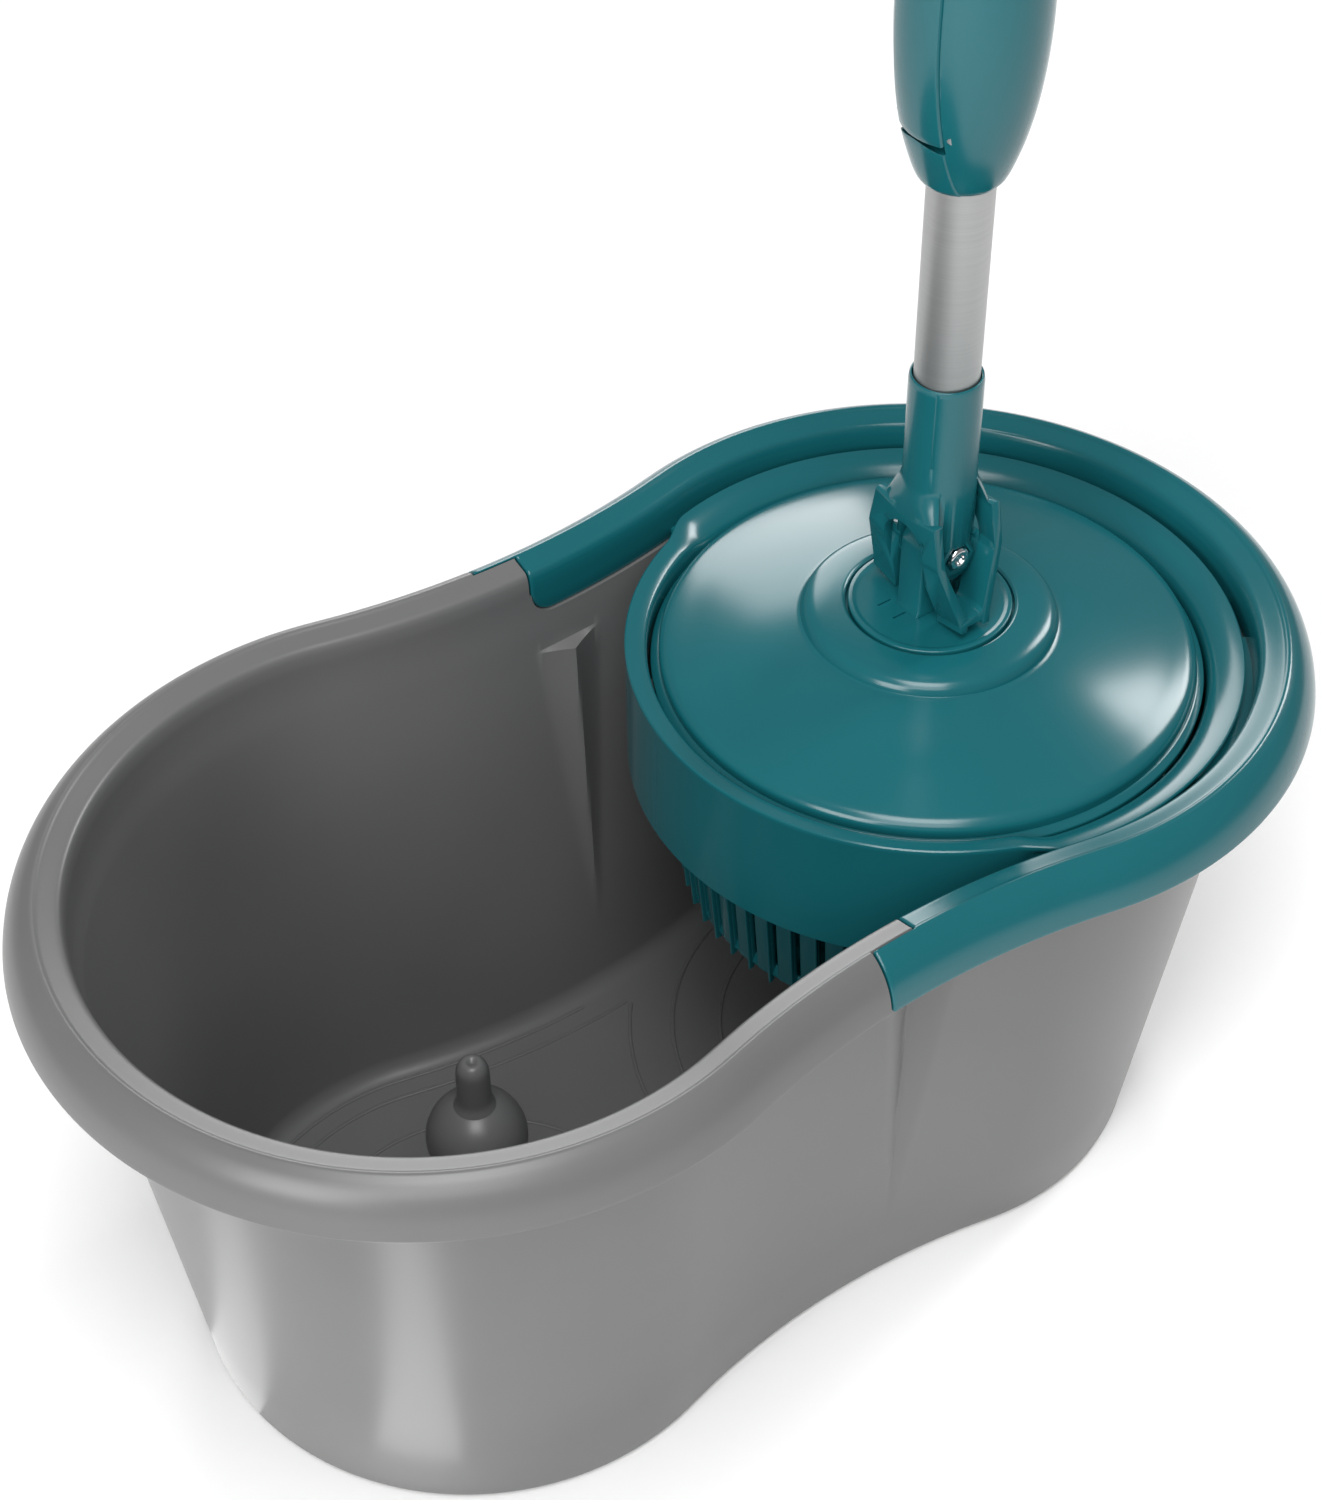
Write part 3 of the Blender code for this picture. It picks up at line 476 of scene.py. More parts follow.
def soften(obj, width, angle=35.0, segments=3):
    """Rounds the sharp edges by a width in millimetres and keeps the flats flat in shading."""
    bm = bmesh.new()
    bm.from_mesh(obj.data)
    bmesh.ops.remove_doubles(bm, verts=bm.verts, dist=0.00002)
    bmesh.ops.dissolve_limit(bm, angle_limit=math.radians(0.5), verts=bm.verts, edges=bm.edges)
    bm.to_mesh(obj.data)
    bm.free()
    bevel = obj.modifiers.new("soften", "BEVEL")
    bevel.width = width * MM
    bevel.segments = segments
    bevel.limit_method = "ANGLE"
    bevel.angle_limit = math.radians(angle)
    bevel.harden_normals = True
    bevel.use_clamp_overlap = True
    settle(obj)
    obj.data.shade_smooth()
    obj.data.set_sharp_from_angle(angle=math.radians(50))
    return obj


# ---------------------------------------------------------------- geometry nodes

class Plan:
    """A Geometry Nodes tree with named inputs, ending in Realize Instances and Set Material."""

    KINDS = {int: "NodeSocketInt", float: "NodeSocketFloat", type(None): "NodeSocketObject"}

    def __init__(self, name, slot, defaults):
        self.name = name
        self.slot = slot
        self.defaults = defaults
        self.group = bpy.data.node_groups.new(name, "GeometryNodeTree")
        self.ids = {}
        for label, value in defaults.items():
            kind = self.KINDS[type(value)]
            item = self.group.interface.new_socket(label, in_out="INPUT", socket_type=kind)
            self.ids[label] = item.identifier
        self.group.interface.new_socket("Geometry", in_out="OUTPUT", socket_type="NodeSocketGeometry")
        self.entry = self.group.nodes.new("NodeGroupInput")
        self.exit = self.group.nodes.new("NodeGroupOutput")
        self.count = 1

    def value(self, label):
        return self.entry.outputs[label]

    def node(self, kind, settings=None, values=None):
        made = self.group.nodes.new(kind)
        made.location = (self.count * 180, 0)
        self.count += 1
        for name, setting in (settings or {}).items():
            setattr(made, name, setting)
        for name, value in (values or {}).items():
            if isinstance(value, bpy.types.NodeSocket):
                self.group.links.new(value, made.inputs[name])
            else:
                made.inputs[name].default_value = value
        return made

    def geo(self, kind, **values):
        """The first output of a geometry node; an input's name is given with underscores for spaces."""
        named = {name.replace("_", " "): value for name, value in values.items()}
        return self.node("GeometryNode" + kind, None, named).outputs[0]

    def math(self, operation, first, second=0.0):
        return self.node("ShaderNodeMath", {"operation": operation}, {0: first, 1: second}).outputs[0]

    def vector(self, x=0.0, y=0.0, z=0.0):
        return self.node("ShaderNodeCombineXYZ", None, {"X": x, "Y": y, "Z": z}).outputs[0]

    def circle(self, resolution, radius):
        return self.geo("CurvePrimitiveCircle", Resolution=resolution, Radius=radius)

    def sweep(self, curve, profile, caps=True):
        return self.geo("CurveToMesh", Curve=curve, Profile_Curve=profile, Fill_Caps=caps)

    def finish(self, geometry):
        real = self.geo("RealizeInstances", Geometry=geometry)
        painted = self.geo("SetMaterial", Geometry=real, Material=finish_for(self.slot))
        self.group.links.new(painted, self.exit.inputs[0])
        return self

    def grow(self, name=None, **changes):
        """A plain mesh object made by this tree, with some inputs changed from their defaults."""
        name = name or self.name
        obj = bpy.data.objects.new(name, bpy.data.meshes.new(name))
        bpy.context.scene.collection.objects.link(obj)
        modifier = obj.modifiers.new(name, "NODES")
        modifier.node_group = self.group
        changed = {label.replace("_", " "): value for label, value in changes.items()}
        for label, value in {**self.defaults, **changed}.items():
            modifier[self.ids[label]] = value
        settle(obj)
        if not obj.data.materials:
            obj.data.materials.append(finish_for(self.slot))
        return obj


def bar_wheel_plan(name, slot):
    """Straight bars that lean with a cone, in a ring about the vertical axis."""
    plan = Plan(name, slot, {
        "Count": 56, "Foot Radius": 0.07, "Head Radius": 0.08, "Foot Height": 0.09, "Head Height": 0.16,
        "Depth": 0.003, "Width": 0.004, "Corner": 0.0005, "Start Angle": 0.0, "Centre": 0.0,
    })
    foot = plan.vector(plan.value("Foot Radius"), 0.0, plan.value("Foot Height"))
    head = plan.vector(plan.value("Head Radius"), 0.0, plan.value("Head Height"))
    line = plan.geo("CurvePrimitiveLine", Start=foot, End=head)
    width, depth = plan.value("Width"), plan.value("Depth")
    section = plan.geo("CurvePrimitiveQuadrilateral", Width=width, Height=depth)
    values = {"Curve": section, "Radius": plan.value("Corner"), "Limit Radius": True, "Count": 3}
    soft = plan.node("GeometryNodeFilletCurve", {"mode": "POLY"}, values).outputs[0]
    bar = plan.sweep(line, soft)
    count = plan.value("Count")
    step = plan.math("DIVIDE", 2 * math.pi, count)
    index = plan.geo("InputIndex")
    angle = plan.math("ADD", plan.math("MULTIPLY", index, step), plan.value("Start Angle"))
    turn = plan.vector(0.0, 0.0, angle)
    wheel = plan.geo("InstanceOnPoints", Points=plan.geo("Points", Count=count), Instance=bar, Rotation=turn)
    shift = plan.vector(plan.value("Centre"), 0.0, 0.0)
    return plan.finish(plan.geo("Transform", Geometry=wheel, Translation=shift))


def strand_plan(name, slot):
    """Looped yarns that hang from a ring, each with its own length, lean and twist."""
    plan = Plan(name, slot, {
        "Count": 400, "Inner Radius": 0.03, "Outer Radius": 0.067, "Top": 0.165, "Drop": 0.055,
        "Yarn": 0.0016, "Centre": 0.0, "Seed": 7,
    })

    def chance(low, high, extra):
        seed = plan.math("ADD", plan.value("Seed"), float(extra))
        made = plan.node("FunctionNodeRandomValue", {"data_type": "FLOAT"}, {2: low, 3: high, "Seed": seed})
        return made.outputs[1]

    count = plan.value("Count")
    index = plan.geo("InputIndex")
    angle = plan.math("MULTIPLY", index, math.pi * (3.0 - math.sqrt(5.0)))
    share = plan.math("SQRT", plan.math("DIVIDE", index, count))
    reach = plan.math("SUBTRACT", plan.value("Outer Radius"), plan.value("Inner Radius"))
    radius = plan.math("ADD", plan.value("Inner Radius"), plan.math("MULTIPLY", share, reach))
    x = plan.math("ADD", plan.math("MULTIPLY", plan.math("COSINE", angle), radius), plan.value("Centre"))
    y = plan.math("MULTIPLY", plan.math("SINE", angle), radius)
    place = plan.vector(x, y, plan.value("Top"))
    points = plan.geo("SetPosition", Geometry=plan.geo("Points", Count=count), Position=place)
    drop = plan.math("MULTIPLY", plan.value("Drop"), -1.0)
    spiral = plan.geo(
        "CurveSpiral", Resolution=10, Rotations=1.35, Start_Radius=0.0014, End_Radius=0.0028, Height=drop,
    )
    yarn = plan.sweep(spiral, plan.circle(6, plan.value("Yarn")))
    lean = plan.vector(chance(-0.04, 0.04, 11), chance(-0.04, 0.04, 12), chance(0.0, 2 * math.pi, 13))
    size = plan.vector(1.0, 1.0, chance(0.78, 1.0, 14))
    copies = plan.geo("InstanceOnPoints", Points=points, Instance=yarn, Rotation=lean, Scale=size)
    return plan.finish(plan.geo("SetShadeSmooth", Geometry=copies))


def ridge_plan(name, slot):
    """A low rounded line that follows a path on the floor."""
    plan = Plan(name, slot, {"Path": None, "Width": 0.0013, "Height": 0.0005})
    source = plan.node("GeometryNodeObjectInfo", None, {"Object": plan.value("Path")})
    curve = plan.geo("MeshToCurve", Mesh=source.outputs["Geometry"])
    squash = plan.vector(plan.value("Width"), plan.math("MULTIPLY", plan.value("Height"), 2.0), 1.0)
    section = plan.geo("Transform", Geometry=plan.circle(10, 0.5), Scale=squash)
    return plan.finish(plan.geo("SetShadeSmooth", Geometry=plan.sweep(curve, section)))


def ring_stack_plan(name, slot):
    """Rounded rings, stacked up the handle."""
    plan = Plan(name, slot, {
        "Count": 18, "Start": 0.9, "Pitch": 0.0046, "Radius": 0.0143, "Bead": 0.0009, "Centre": 0.0,
    })
    start = plan.vector(plan.value("Centre"), 0.0, plan.value("Start"))
    step = plan.vector(0.0, 0.0, plan.value("Pitch"))
    line = plan.geo("MeshLine", Count=plan.value("Count"), Start_Location=start, Offset=step)
    torus = plan.sweep(plan.circle(72, plan.value("Radius")), plan.circle(10, plan.value("Bead")), False)
    soft = plan.geo("SetShadeSmooth", Geometry=torus)
    return plan.finish(plan.geo("InstanceOnPoints", Points=line, Instance=soft))


# ---------------------------------------------------------------- bucket outline

LOBE_STEPS = 72
COVER_OUTER_X = -10.5 * MM
COVER_INNER_X = 4.0 * MM
COVER_GAP = 0.8 * MM
FLUTE_X = 17.0 * MM
APRON_LOW_Z = 163.2 * MM
APRON_CORNER = 8.0 * MM
BEVEL_STEPS = (0.0, 0.3 * MM, COVER_GAP, COVER_GAP + 0.15 * MM, COVER_GAP + 0.4 * MM, COVER_GAP + 0.8 * MM)


def grown_outline(outline, amount):
    front_x, front_r, rear_x, rear_r, waist_r = outline
    return (front_x, front_r + amount, rear_x, rear_r + amount, waist_r - amount)


def wall_outline(z):
    """The outer face of the wall at height z: an even blend from the base to just under the rim."""
    top = grown_outline(RIM_OUTLINE, -RIM_OVERHANG)
    share = z / WALL_TOP_Z
    return tuple(a + (b - a) * share for a, b in zip(BASE_OUTLINE, top))


def waist_stations():
    """x of the points along the waist, close together at the joints of the cover and at the flutes."""
    stations = [COVER_OUTER_X + step for step in BEVEL_STEPS]
    stations += [COVER_INNER_X + step for step in BEVEL_STEPS]
    stations += [COVER_INNER_X + step * MM for step in (1.6, 2.3, 3.2, 4.3, 5.6, 7.0, 8.6)]
    stations += [x * MM for x in range(14, 31)]
    stations += [x * MM for x in range(32, 58, 2)]
    stations += [x * MM for x in range(-52, -12, 2)]
    stations += [x * MM for x in (-8, -6, -4, -2, 0, 2)]
    return sorted(set(stations), reverse=True)


WAIST = waist_stations()


@functools.lru_cache(maxsize=None)
def half_outline(outline):
    """Points (x, y) with y >= 0 from the rear tip, round the waist, to the front tip."""
    front_x, front_r, rear_x, rear_r, waist_r = outline
    span = rear_x - front_x
    to_front = front_r + waist_r
    to_rear = rear_r + waist_r
    waist_x = front_x + (span ** 2 + to_front ** 2 - to_rear ** 2) / (2 * span)
    waist_y = math.sqrt(to_front ** 2 - (waist_x - front_x) ** 2)
    rear_end = math.atan2(waist_y, waist_x - rear_x)
    front_start = math.atan2(waist_y, waist_x - front_x)
    points = []
    for i in range(LOBE_STEPS + 1):
        angle = rear_end * i / LOBE_STEPS
        points.append((rear_x + rear_r * math.cos(angle), rear_r * math.sin(angle)))
    for x in WAIST:
        points.append((x, waist_y - math.sqrt(waist_r ** 2 - (x - waist_x) ** 2)))
    for i in range(LOBE_STEPS + 1):
        angle = front_start + (math.pi - front_start) * i / LOBE_STEPS
        points.append((front_x + front_r * math.cos(angle), front_r * math.sin(angle)))
    return points


HALF_COUNT = 2 * (LOBE_STEPS + 1) + len(WAIST)


def mirrored(ring):
    return [(x, -y, z) for x, y, z in reversed(ring[1:-1])]


def flute_dent(x, z):
    """How far the waist wall is pressed in: a wedge that widens and deepens from its tip to its ledge."""
    look = bpy.context.scene.spin_mop_bucket
    share = (z - look.flute_tip) / (look.flute_ledge - look.flute_tip)
    if share <= 0.0:
        return 0.0
    valley = FLUTE_X + (1.0 - share) * 1.8 * MM - share * 1.2 * MM
    side = look.flute_front if x < valley else look.flute_rear
    reach = 1.5 * MM + side * min(share, 1.0)
    height = max(0.0, 1.0 - abs(x - valley) / reach) ** 1.45
    ledge = max(0.0, 1.0 - max(0.0, z - look.flute_ledge) / (0.8 * MM))
    return look.flute_depth * min(share, 1.0) * height * ledge


def wall_ring(z, inward):
    half = half_outline(grown_outline(wall_outline(z), -inward))
    ring = [(x, y - (flute_dent(x, z) if y > 0.0 else 0.0), z) for x, y in half]
    return ring + mirrored(ring)


# Rim section in millimetres: (offset from the rim outline, height), up the outer side and over the crest
RIM_SECTION = (
    (-0.7, 165.9), (-0.2, 166.1), (0.0, 166.7), (-0.35, 168.8), (-1.0, 171.4), (-2.2, 174.4), (-4.0, 177.3),
    (-6.4, 179.7), (-8.3, 180.9), (-9.3, 181.35), (-10.1, 181.3), (-10.9, 180.85), (-11.8, 180.55),
    (-15.2, 179.7), (-16.5, 179.15), (-17.15, 178.4), (-17.6, 177.2),
)
INNER_SECTION = ((-17.6, 177.2), (-18.05, 174.5), (-18.2, 170.0), (-18.45, 166.0), (-18.9, 161.5))
RIM_WALL = 2.1
SECTION_STEPS = 3
CREST_INDEX = 10 * SECTION_STEPS


def inner_offset(height):
    """Offset of the rim's inner face at a height, in millimetres."""
    for upper, lower in zip(INNER_SECTION, INNER_SECTION[1:]):
        if height >= lower[1]:
            share = (upper[1] - height) / (upper[1] - lower[1])
            return upper[0] + (lower[0] - upper[0]) * share
    return INNER_SECTION[-1][0]


def apron_low(x):
    """Height of the cover's inner lower edge, which rounds up to its joint at the front."""
    run = x - (COVER_INNER_X + COVER_GAP)
    if run >= APRON_CORNER:
        return APRON_LOW_Z
    run = max(run, 0.0)
    rise = APRON_CORNER - math.sqrt(APRON_CORNER ** 2 - (APRON_CORNER - run) ** 2)
    return APRON_LOW_Z + rise


FIXED_LINE = smooth_curve(RIM_SECTION, SECTION_STEPS)
FREE_STEPS = 5
APRON_INDEX = len(FIXED_LINE) - 1 + FREE_STEPS


@functools.lru_cache(maxsize=None)
def rim_line(low):
    """The whole section, in millimetres, with one point on the cover's lower edge and one just under it."""
    line = list(FIXED_LINE)
    top = line[-1][1]
    for step in range(1, FREE_STEPS + 1):
        height = top + (low - top) * step / FREE_STEPS
        line.append((inner_offset(height), height))
    for share in (0.0, 0.5, 1.0):
        height = (low - 0.3) + (INNER_SECTION[-1][1] - low + 0.3) * share
        line.append((inner_offset(height), height))
    result = []
    for i, point in enumerate(line):
        before = Vector(line[max(i - 1, 0)])
        after = Vector(line[min(i + 1, len(line) - 1)])
        along = (after - before).normalized()
        result.append((point, (-along.y, along.x)))
    return result


def rim_point(station, x, index, sink, raised=0.0):
    """A point of the rim's section at a station, sunk into the rim by a depth in millimetres."""
    low = round(apron_low(x) / MM + raised, 3)
    (offset, height), normal = rim_line(low)[index]
    offset += normal[0] * sink
    height += normal[1] * sink
    spot = half_outline(grown_outline(RIM_OUTLINE, round(offset * MM, 7)))[station]
    return (spot[0], spot[1], height * MM)


def bucket_rim_ring(index, under):
    """A ring of the bucket's own rim, recessed where the spinner's cover sits on it."""
    seat = bpy.context.scene.spin_mop_bucket.cover_thickness / MM + 0.25
    edge = COVER_OUTER_X if index <= CREST_INDEX else COVER_INNER_X
    places = half_outline(RIM_OUTLINE)
    ring = []
    for station in range(HALF_COUNT):
        x = places[station][0]
        covered = x > edge + 0.1 * MM and index <= APRON_INDEX
        sink = (seat if covered else 0.0) + (RIM_WALL if under else 0.0)
        ring.append(rim_point(station, x, index, sink))
    return ring + mirrored(ring)


def bucket_rings():
    look = bpy.context.scene.spin_mop_bucket
    foot = look.foot_radius
    rings = []
    for i in range(6):
        angle = math.pi / 2 * i / 5
        rings.append(wall_ring(foot * (1 - math.cos(angle)), foot * (1 - math.sin(angle))))
    ledge = look.flute_ledge
    heights = [look.flute_tip - 6 * MM, look.flute_tip]
    heights += [look.flute_tip + (ledge - look.flute_tip) * i / 14 for i in range(1, 15)]
    heights += [ledge + 0.4 * MM, ledge + 0.8 * MM, 154 * MM, 157.5 * MM]
    rings += [wall_ring(z, 0.0) for z in heights]
    last = len(rim_line(round(APRON_LOW_Z / MM, 3))) - 1
    rings += [bucket_rim_ring(index, True) for index in range(last, -1, -1)]
    rings += [bucket_rim_ring(index, False) for index in range(last + 1)]
    rings += [wall_ring(z, look.wall) for z in reversed(heights)]
    inner_foot = foot + 3 * MM
    for i in range(8):
        angle = math.pi / 2 * i / 7
        z = look.floor + inner_foot * (1 - math.sin(angle))
        rings.append(wall_ring(z, look.wall + inner_foot * (1 - math.cos(angle))))
    return rings


# ---------------------------------------------------------------- cover and funnel of the spinner

def cover_mesh(name):
    """The teal cap on the rear rim: its outer half runs further forward than its inner half."""
    thickness = bpy.context.scene.spin_mop_bucket.cover_thickness / MM
    places = half_outline(RIM_OUTLINE)
    outer_start = COVER_OUTER_X + COVER_GAP
    inner_start = COVER_INNER_X + COVER_GAP
    rear_stations = range(HALF_COUNT - LOBE_STEPS)
    last_station = max(i for i in rear_stations if places[i][0] > outer_start - 0.01 * MM)
    bm = bmesh.new()
    over = {}
    under = {}
    for side in (1, -1):
        for station in range(last_station + 1):
            x = places[station][0]
            for index in range(APRON_INDEX + 1):
                start = outer_start if index <= CREST_INDEX else inner_start
                run = (x - start) / MM
                sink = edge_round(run)
                sink = max(sink, edge_round(index * 0.25))
                sink = max(sink, edge_round((APRON_INDEX - index) * 0.4))
                if x < inner_start - 0.01 * MM:
                    sink = max(sink, edge_round((CREST_INDEX - index) * 0.3))
                for store, extra in ((over, sink), (under, thickness - 0.4 * sink)):
                    spot = rim_point(station, x, index, extra, 0.35)
                    store[side * station, index] = bm.verts.new((spot[0], side * spot[1], spot[2]))
    cells = set()
    for column in range(-last_station, last_station):
        x = min(places[abs(column)][0], places[abs(column + 1)][0])
        for index in range(APRON_INDEX):
            start = outer_start if index < CREST_INDEX else inner_start
            if x > start - 0.01 * MM:
                cells.add((column, index))
    for column, index in cells:
        corners = [(column, index), (column + 1, index), (column + 1, index + 1), (column, index + 1)]
        bm.faces.new([over[c] for c in corners])
        bm.faces.new([under[c] for c in reversed(corners)])
        edges = (
            ((column, index - 1), corners[0], corners[1]),
            ((column + 1, index), corners[1], corners[2]),
            ((column, index + 1), corners[2], corners[3]),
            ((column - 1, index), corners[3], corners[0]),
        )
        for neighbour, a, b in edges:
            if neighbour not in cells:
                bm.faces.new((over[b], over[a], under[a], under[b]))
    loose = [vert for vert in bm.verts if not vert.link_faces]
    bmesh.ops.delete(bm, geom=loose, context="VERTS")
    bmesh.ops.recalc_face_normals(bm, faces=bm.faces)
    return mesh_object(name, bm, "teal_plastic", 34.0)


def edge_round(run):
    """How deep an edge has rounded off at a run from it, in millimetres."""
    radius = 0.8
    if run >= radius:
        return 0.0
    run = max(run, 0.0)
    return radius - math.sqrt(radius ** 2 - (radius - run) ** 2)


# Lip sections in millimetres, (radius, height), from the foot of the skirt over the lip and down inside
FRONT_LIP = (
    (89.2, 130.0), (89.7, 130.6), (90.0, 169.5), (90.2, 171.6), (90.25, 172.5), (90.1, 173.0), (89.7, 173.3),
    (89.2, 173.2), (87.0, 172.7), (84.7, 172.0), (84.1, 171.6), (83.7, 170.9), (83.4, 169.6), (83.4, 161.0),
    (84.0, 160.4), (84.9, 160.6), (85.4, 168.4), (87.9, 170.4), (87.9, 158.0), (87.8, 130.6), (88.3, 130.0),
)
REAR_LIP = (
    (89.2, 130.0), (89.7, 130.6), (90.0, 168.6), (93.7, 171.2), (94.0, 172.2), (93.9, 172.9), (93.5, 173.2),
    (93.0, 173.1), (90.2, 172.4), (85.4, 169.4), (84.3, 168.2), (83.7, 166.9), (83.4, 165.4), (83.4, 161.0),
    (84.0, 160.4), (84.9, 160.6), (85.4, 164.9), (87.9, 167.2), (87.9, 158.0), (87.8, 130.6), (88.3, 130.0),
)
KINK_START = 104.5
KINK_END = 114.0


def lip_mesh(name):
    """The spinner's funnel: a deep skirt with a lip that widens into a flange behind the two kinks."""
    steps = 360
    rings = []
    for i in range(steps):
        angle = 2 * math.pi * i / steps
        turn = abs(math.degrees(math.atan2(math.sin(angle), math.cos(angle))))
        share = min(max((turn - KINK_START) / (KINK_END - KINK_START), 0.0), 1.0)
        share = share * share * (3 - 2 * share)
        ring = []
        for rear, front in zip(REAR_LIP, FRONT_LIP):
            radius = (rear[0] + (front[0] - rear[0]) * share) * MM
            height = (rear[1] + (front[1] - rear[1]) * share) * MM
            ring.append((SPIN_X + radius * math.cos(angle), radius * math.sin(angle), height))
        rings.append(ring)
    return lofted(name, rings, "teal_plastic", closed=True, sharp=30.0)


def arc_plate(bm, radii, heights, start, end):
    """A flat curved bar, added to a mesh: between two radii, two heights and two angles in degrees."""
    steps = max(2, round((end - start) / 2))
    corners = ((radii[0], heights[0]), (radii[1], heights[0]), (radii[1], heights[1]), (radii[0], heights[1]))
    rows = []
    for i in range(steps + 1):
        angle = math.radians(start + (end - start) * i / steps)
        x, y = math.cos(angle), math.sin(angle)
        rows.append([bm.verts.new((SPIN_X + radius * x, radius * y, height)) for radius, height in corners])
    wall_faces(bm, rows)


# ---------------------------------------------------------------- settings

def colour(name, description, value):
    """A colour setting."""
    return FloatVectorProperty(
        name=name, description=description, subtype="COLOR", size=4, min=0.0, max=1.0, default=(*value, 1.0),
    )


def amount(name, description, value):
    """A setting without a unit."""
    return FloatProperty(name=name, description=description, default=value, min=0.0)


def length(name, description, value):
    """A length setting, with its default in millimetres."""
    return FloatProperty(name=name, description=description, unit="LENGTH", default=value * MM)


class SpinMopFinish(bpy.types.PropertyGroup):
    teal: colour("Teal", "Colour of the spinner, plate and grips", (0.007, 0.114, 0.135))
    teal_roughness: amount("Teal roughness", "Roughness of the teal plastic", 0.16)
    grey: colour("Grey", "Colour of the bucket", (0.142, 0.142, 0.142))
    grey_roughness: amount("Grey roughness", "Roughness of the bucket", 0.3)
    yarn: colour("Yarn", "Colour of the microfibre", (0.62, 0.6, 0.57))
    steel: colour("Steel", "Colour of the telescopic tubes", (0.5, 0.505, 0.5))
    steel_roughness: amount("Steel roughness", "Roughness of the tubes", 0.42)
    chrome: colour("Chrome", "Colour of the pivot bolt", (0.8, 0.8, 0.81))
    nylon: colour("Nylon", "Colour of the hidden bushes", (0.55, 0.55, 0.53))


class SpinMopBucket(bpy.types.PropertyGroup):
    wall: length("Wall", "Thickness of the wall", 2.2)
    floor: length("Floor", "Thickness of the floor", 2.6)
    foot_radius: length("Foot radius", "Rounding between wall and floor", 3.0)
    cover_thickness: length("Cover thickness", "Thickness of the teal cover on the rim", 2.0)
    flute_tip: length("Flute tip", "Height of the pointed foot of a flute", 33.0)
    flute_ledge: length("Flute ledge", "Height where a flute ends", 149.2)
    flute_front: length("Flute front side", "Width of its front face", 10.5)
    flute_rear: length("Flute rear side", "Width of its rear face", 12.0)
    flute_depth: length("Flute depth", "Depth at the ledge", 4.9)
    ridge_width: length("Floor ridge width", "Width of the raised lines on the floor", 1.3)
    ridge_height: length("Floor ridge height", "Height of the raised lines", 0.5)


class SpinMopSpinner(bpy.types.PropertyGroup):
    bars: IntProperty(name="Bars", description="Number of bars round the basket", default=56, min=12)
    bar_width: length("Bar width", "Width of one bar", 6.3)
    fin_width: length("Fin width", "Width of the fin on a bar", 0.9)
    fin_depth: length("Fin depth", "Depth of the fin", 2.2)
    strands: IntProperty(name="Strands", description="Number of looped yarns", default=460, min=20)
    yarn_radius: length("Yarn radius", "Half the yarn's width", 1.5)


class SpinMopHandle(bpy.types.PropertyGroup):
    tube_wall: length("Tube wall", "Wall of the tubes", 0.9)
    edge: length("Edge", "Rounding of the yoke's edges", 0.2475)
    grip_rings: IntProperty(name="Grip rings", description="Rings on the upper hand grip", default=18, min=2)


class SpinMopStage(bpy.types.PropertyGroup):
    floor_colour: colour("Floor", "Colour of the paper", (0.93, 0.93, 0.93))
    floor_glow: amount("Floor glow", "Light of the paper itself", 0.06)
    ambient: amount("Ambient", "Light from all round", 0.22)
    key: amount("Key light", "Power in watts that every softbox takes its share of", 9.0)


# ---------------------------------------------------------------- operators

# The raised lines on the floor: (centre x, radius, start and end in degrees)
FLOOR_CIRCLES = (
    (WASH_X, 54.7 * MM, -180, 180), (SPIN_X, 76.0 * MM, -180, 180), (SPIN_X, 60.0 * MM, -180, 180),
    (SPIN_X, 90.5 * MM, 139, 221),
)


class SPINMOP_OT_bucket(bpy.types.Operator):
    """The grey two-bowl bucket with its hollow rim, pressed flutes and raised floor lines"""

    bl_idname = "spin_mop.bucket"
    bl_label = "Bucket"

    def execute(self, context):
        shell = lofted("bucket_shell", bucket_rings(), "grey_plastic", sharp=26.0)
        finish_piece(shell, "bucket_body", "grey_plastic", "bucket")
        look = context.scene.spin_mop_bucket
        paths = [floor_path(look.wall + 5.2 * MM, 6.0 * MM), floor_path(look.wall + 12.2 * MM, 19.5 * MM)]
        paths += [circle_path(*circle) for circle in FLOOR_CIRCLES]
        plan = ridge_plan("floor_ridge", "grey_plastic")
        for number, path in enumerate(paths):
            guide = path_object(f"ridge_guide_{number}", path, look.floor)
            name = f"floor_ridge_{number}"
            ridge = plan.grow(name, Path=guide, Width=look.ridge_width, Height=look.ridge_height)
            bpy.data.objects.remove(guide, do_unlink=True)
            finish_piece(ridge, "bucket_body", "grey_plastic")
        return {"FINISHED"}


def floor_path(inward, rear_end):
    """A line on the floor of the wash bowl, parallel to its edge, open at the waist."""
    half = half_outline(grown_outline(wall_outline(0.0), -inward))
    ring = [(x, y, 0.0) for x, y in half]
    return [Vector(point[:2]) for point in ring + mirrored(ring) if point[0] < rear_end], False


def circle_path(x, radius, start, end):
    """A circle or an arc on the floor, and whether it closes."""
    steps = 120
    closed = end - start >= 360
    points = []
    for i in range(steps if closed else steps + 1):
        angle = math.radians(start + (end - start) * i / steps)
        points.append(Vector((x + radius * math.cos(angle), radius * math.sin(angle))))
    return points, closed


def path_object(name, path, height):
    """A path as an object of edges only, for a plan to follow."""
    points, closed = path
    mesh = bpy.data.meshes.new(name)
    edges = [(i, i + 1) for i in range(len(points) - 1)]
    if closed:
        edges.append((len(points) - 1, 0))
    mesh.from_pydata([(p.x, p.y, height) for p in points], edges, [])
    obj = bpy.data.objects.new(name, mesh)
    bpy.context.scene.collection.objects.link(obj)
    return obj


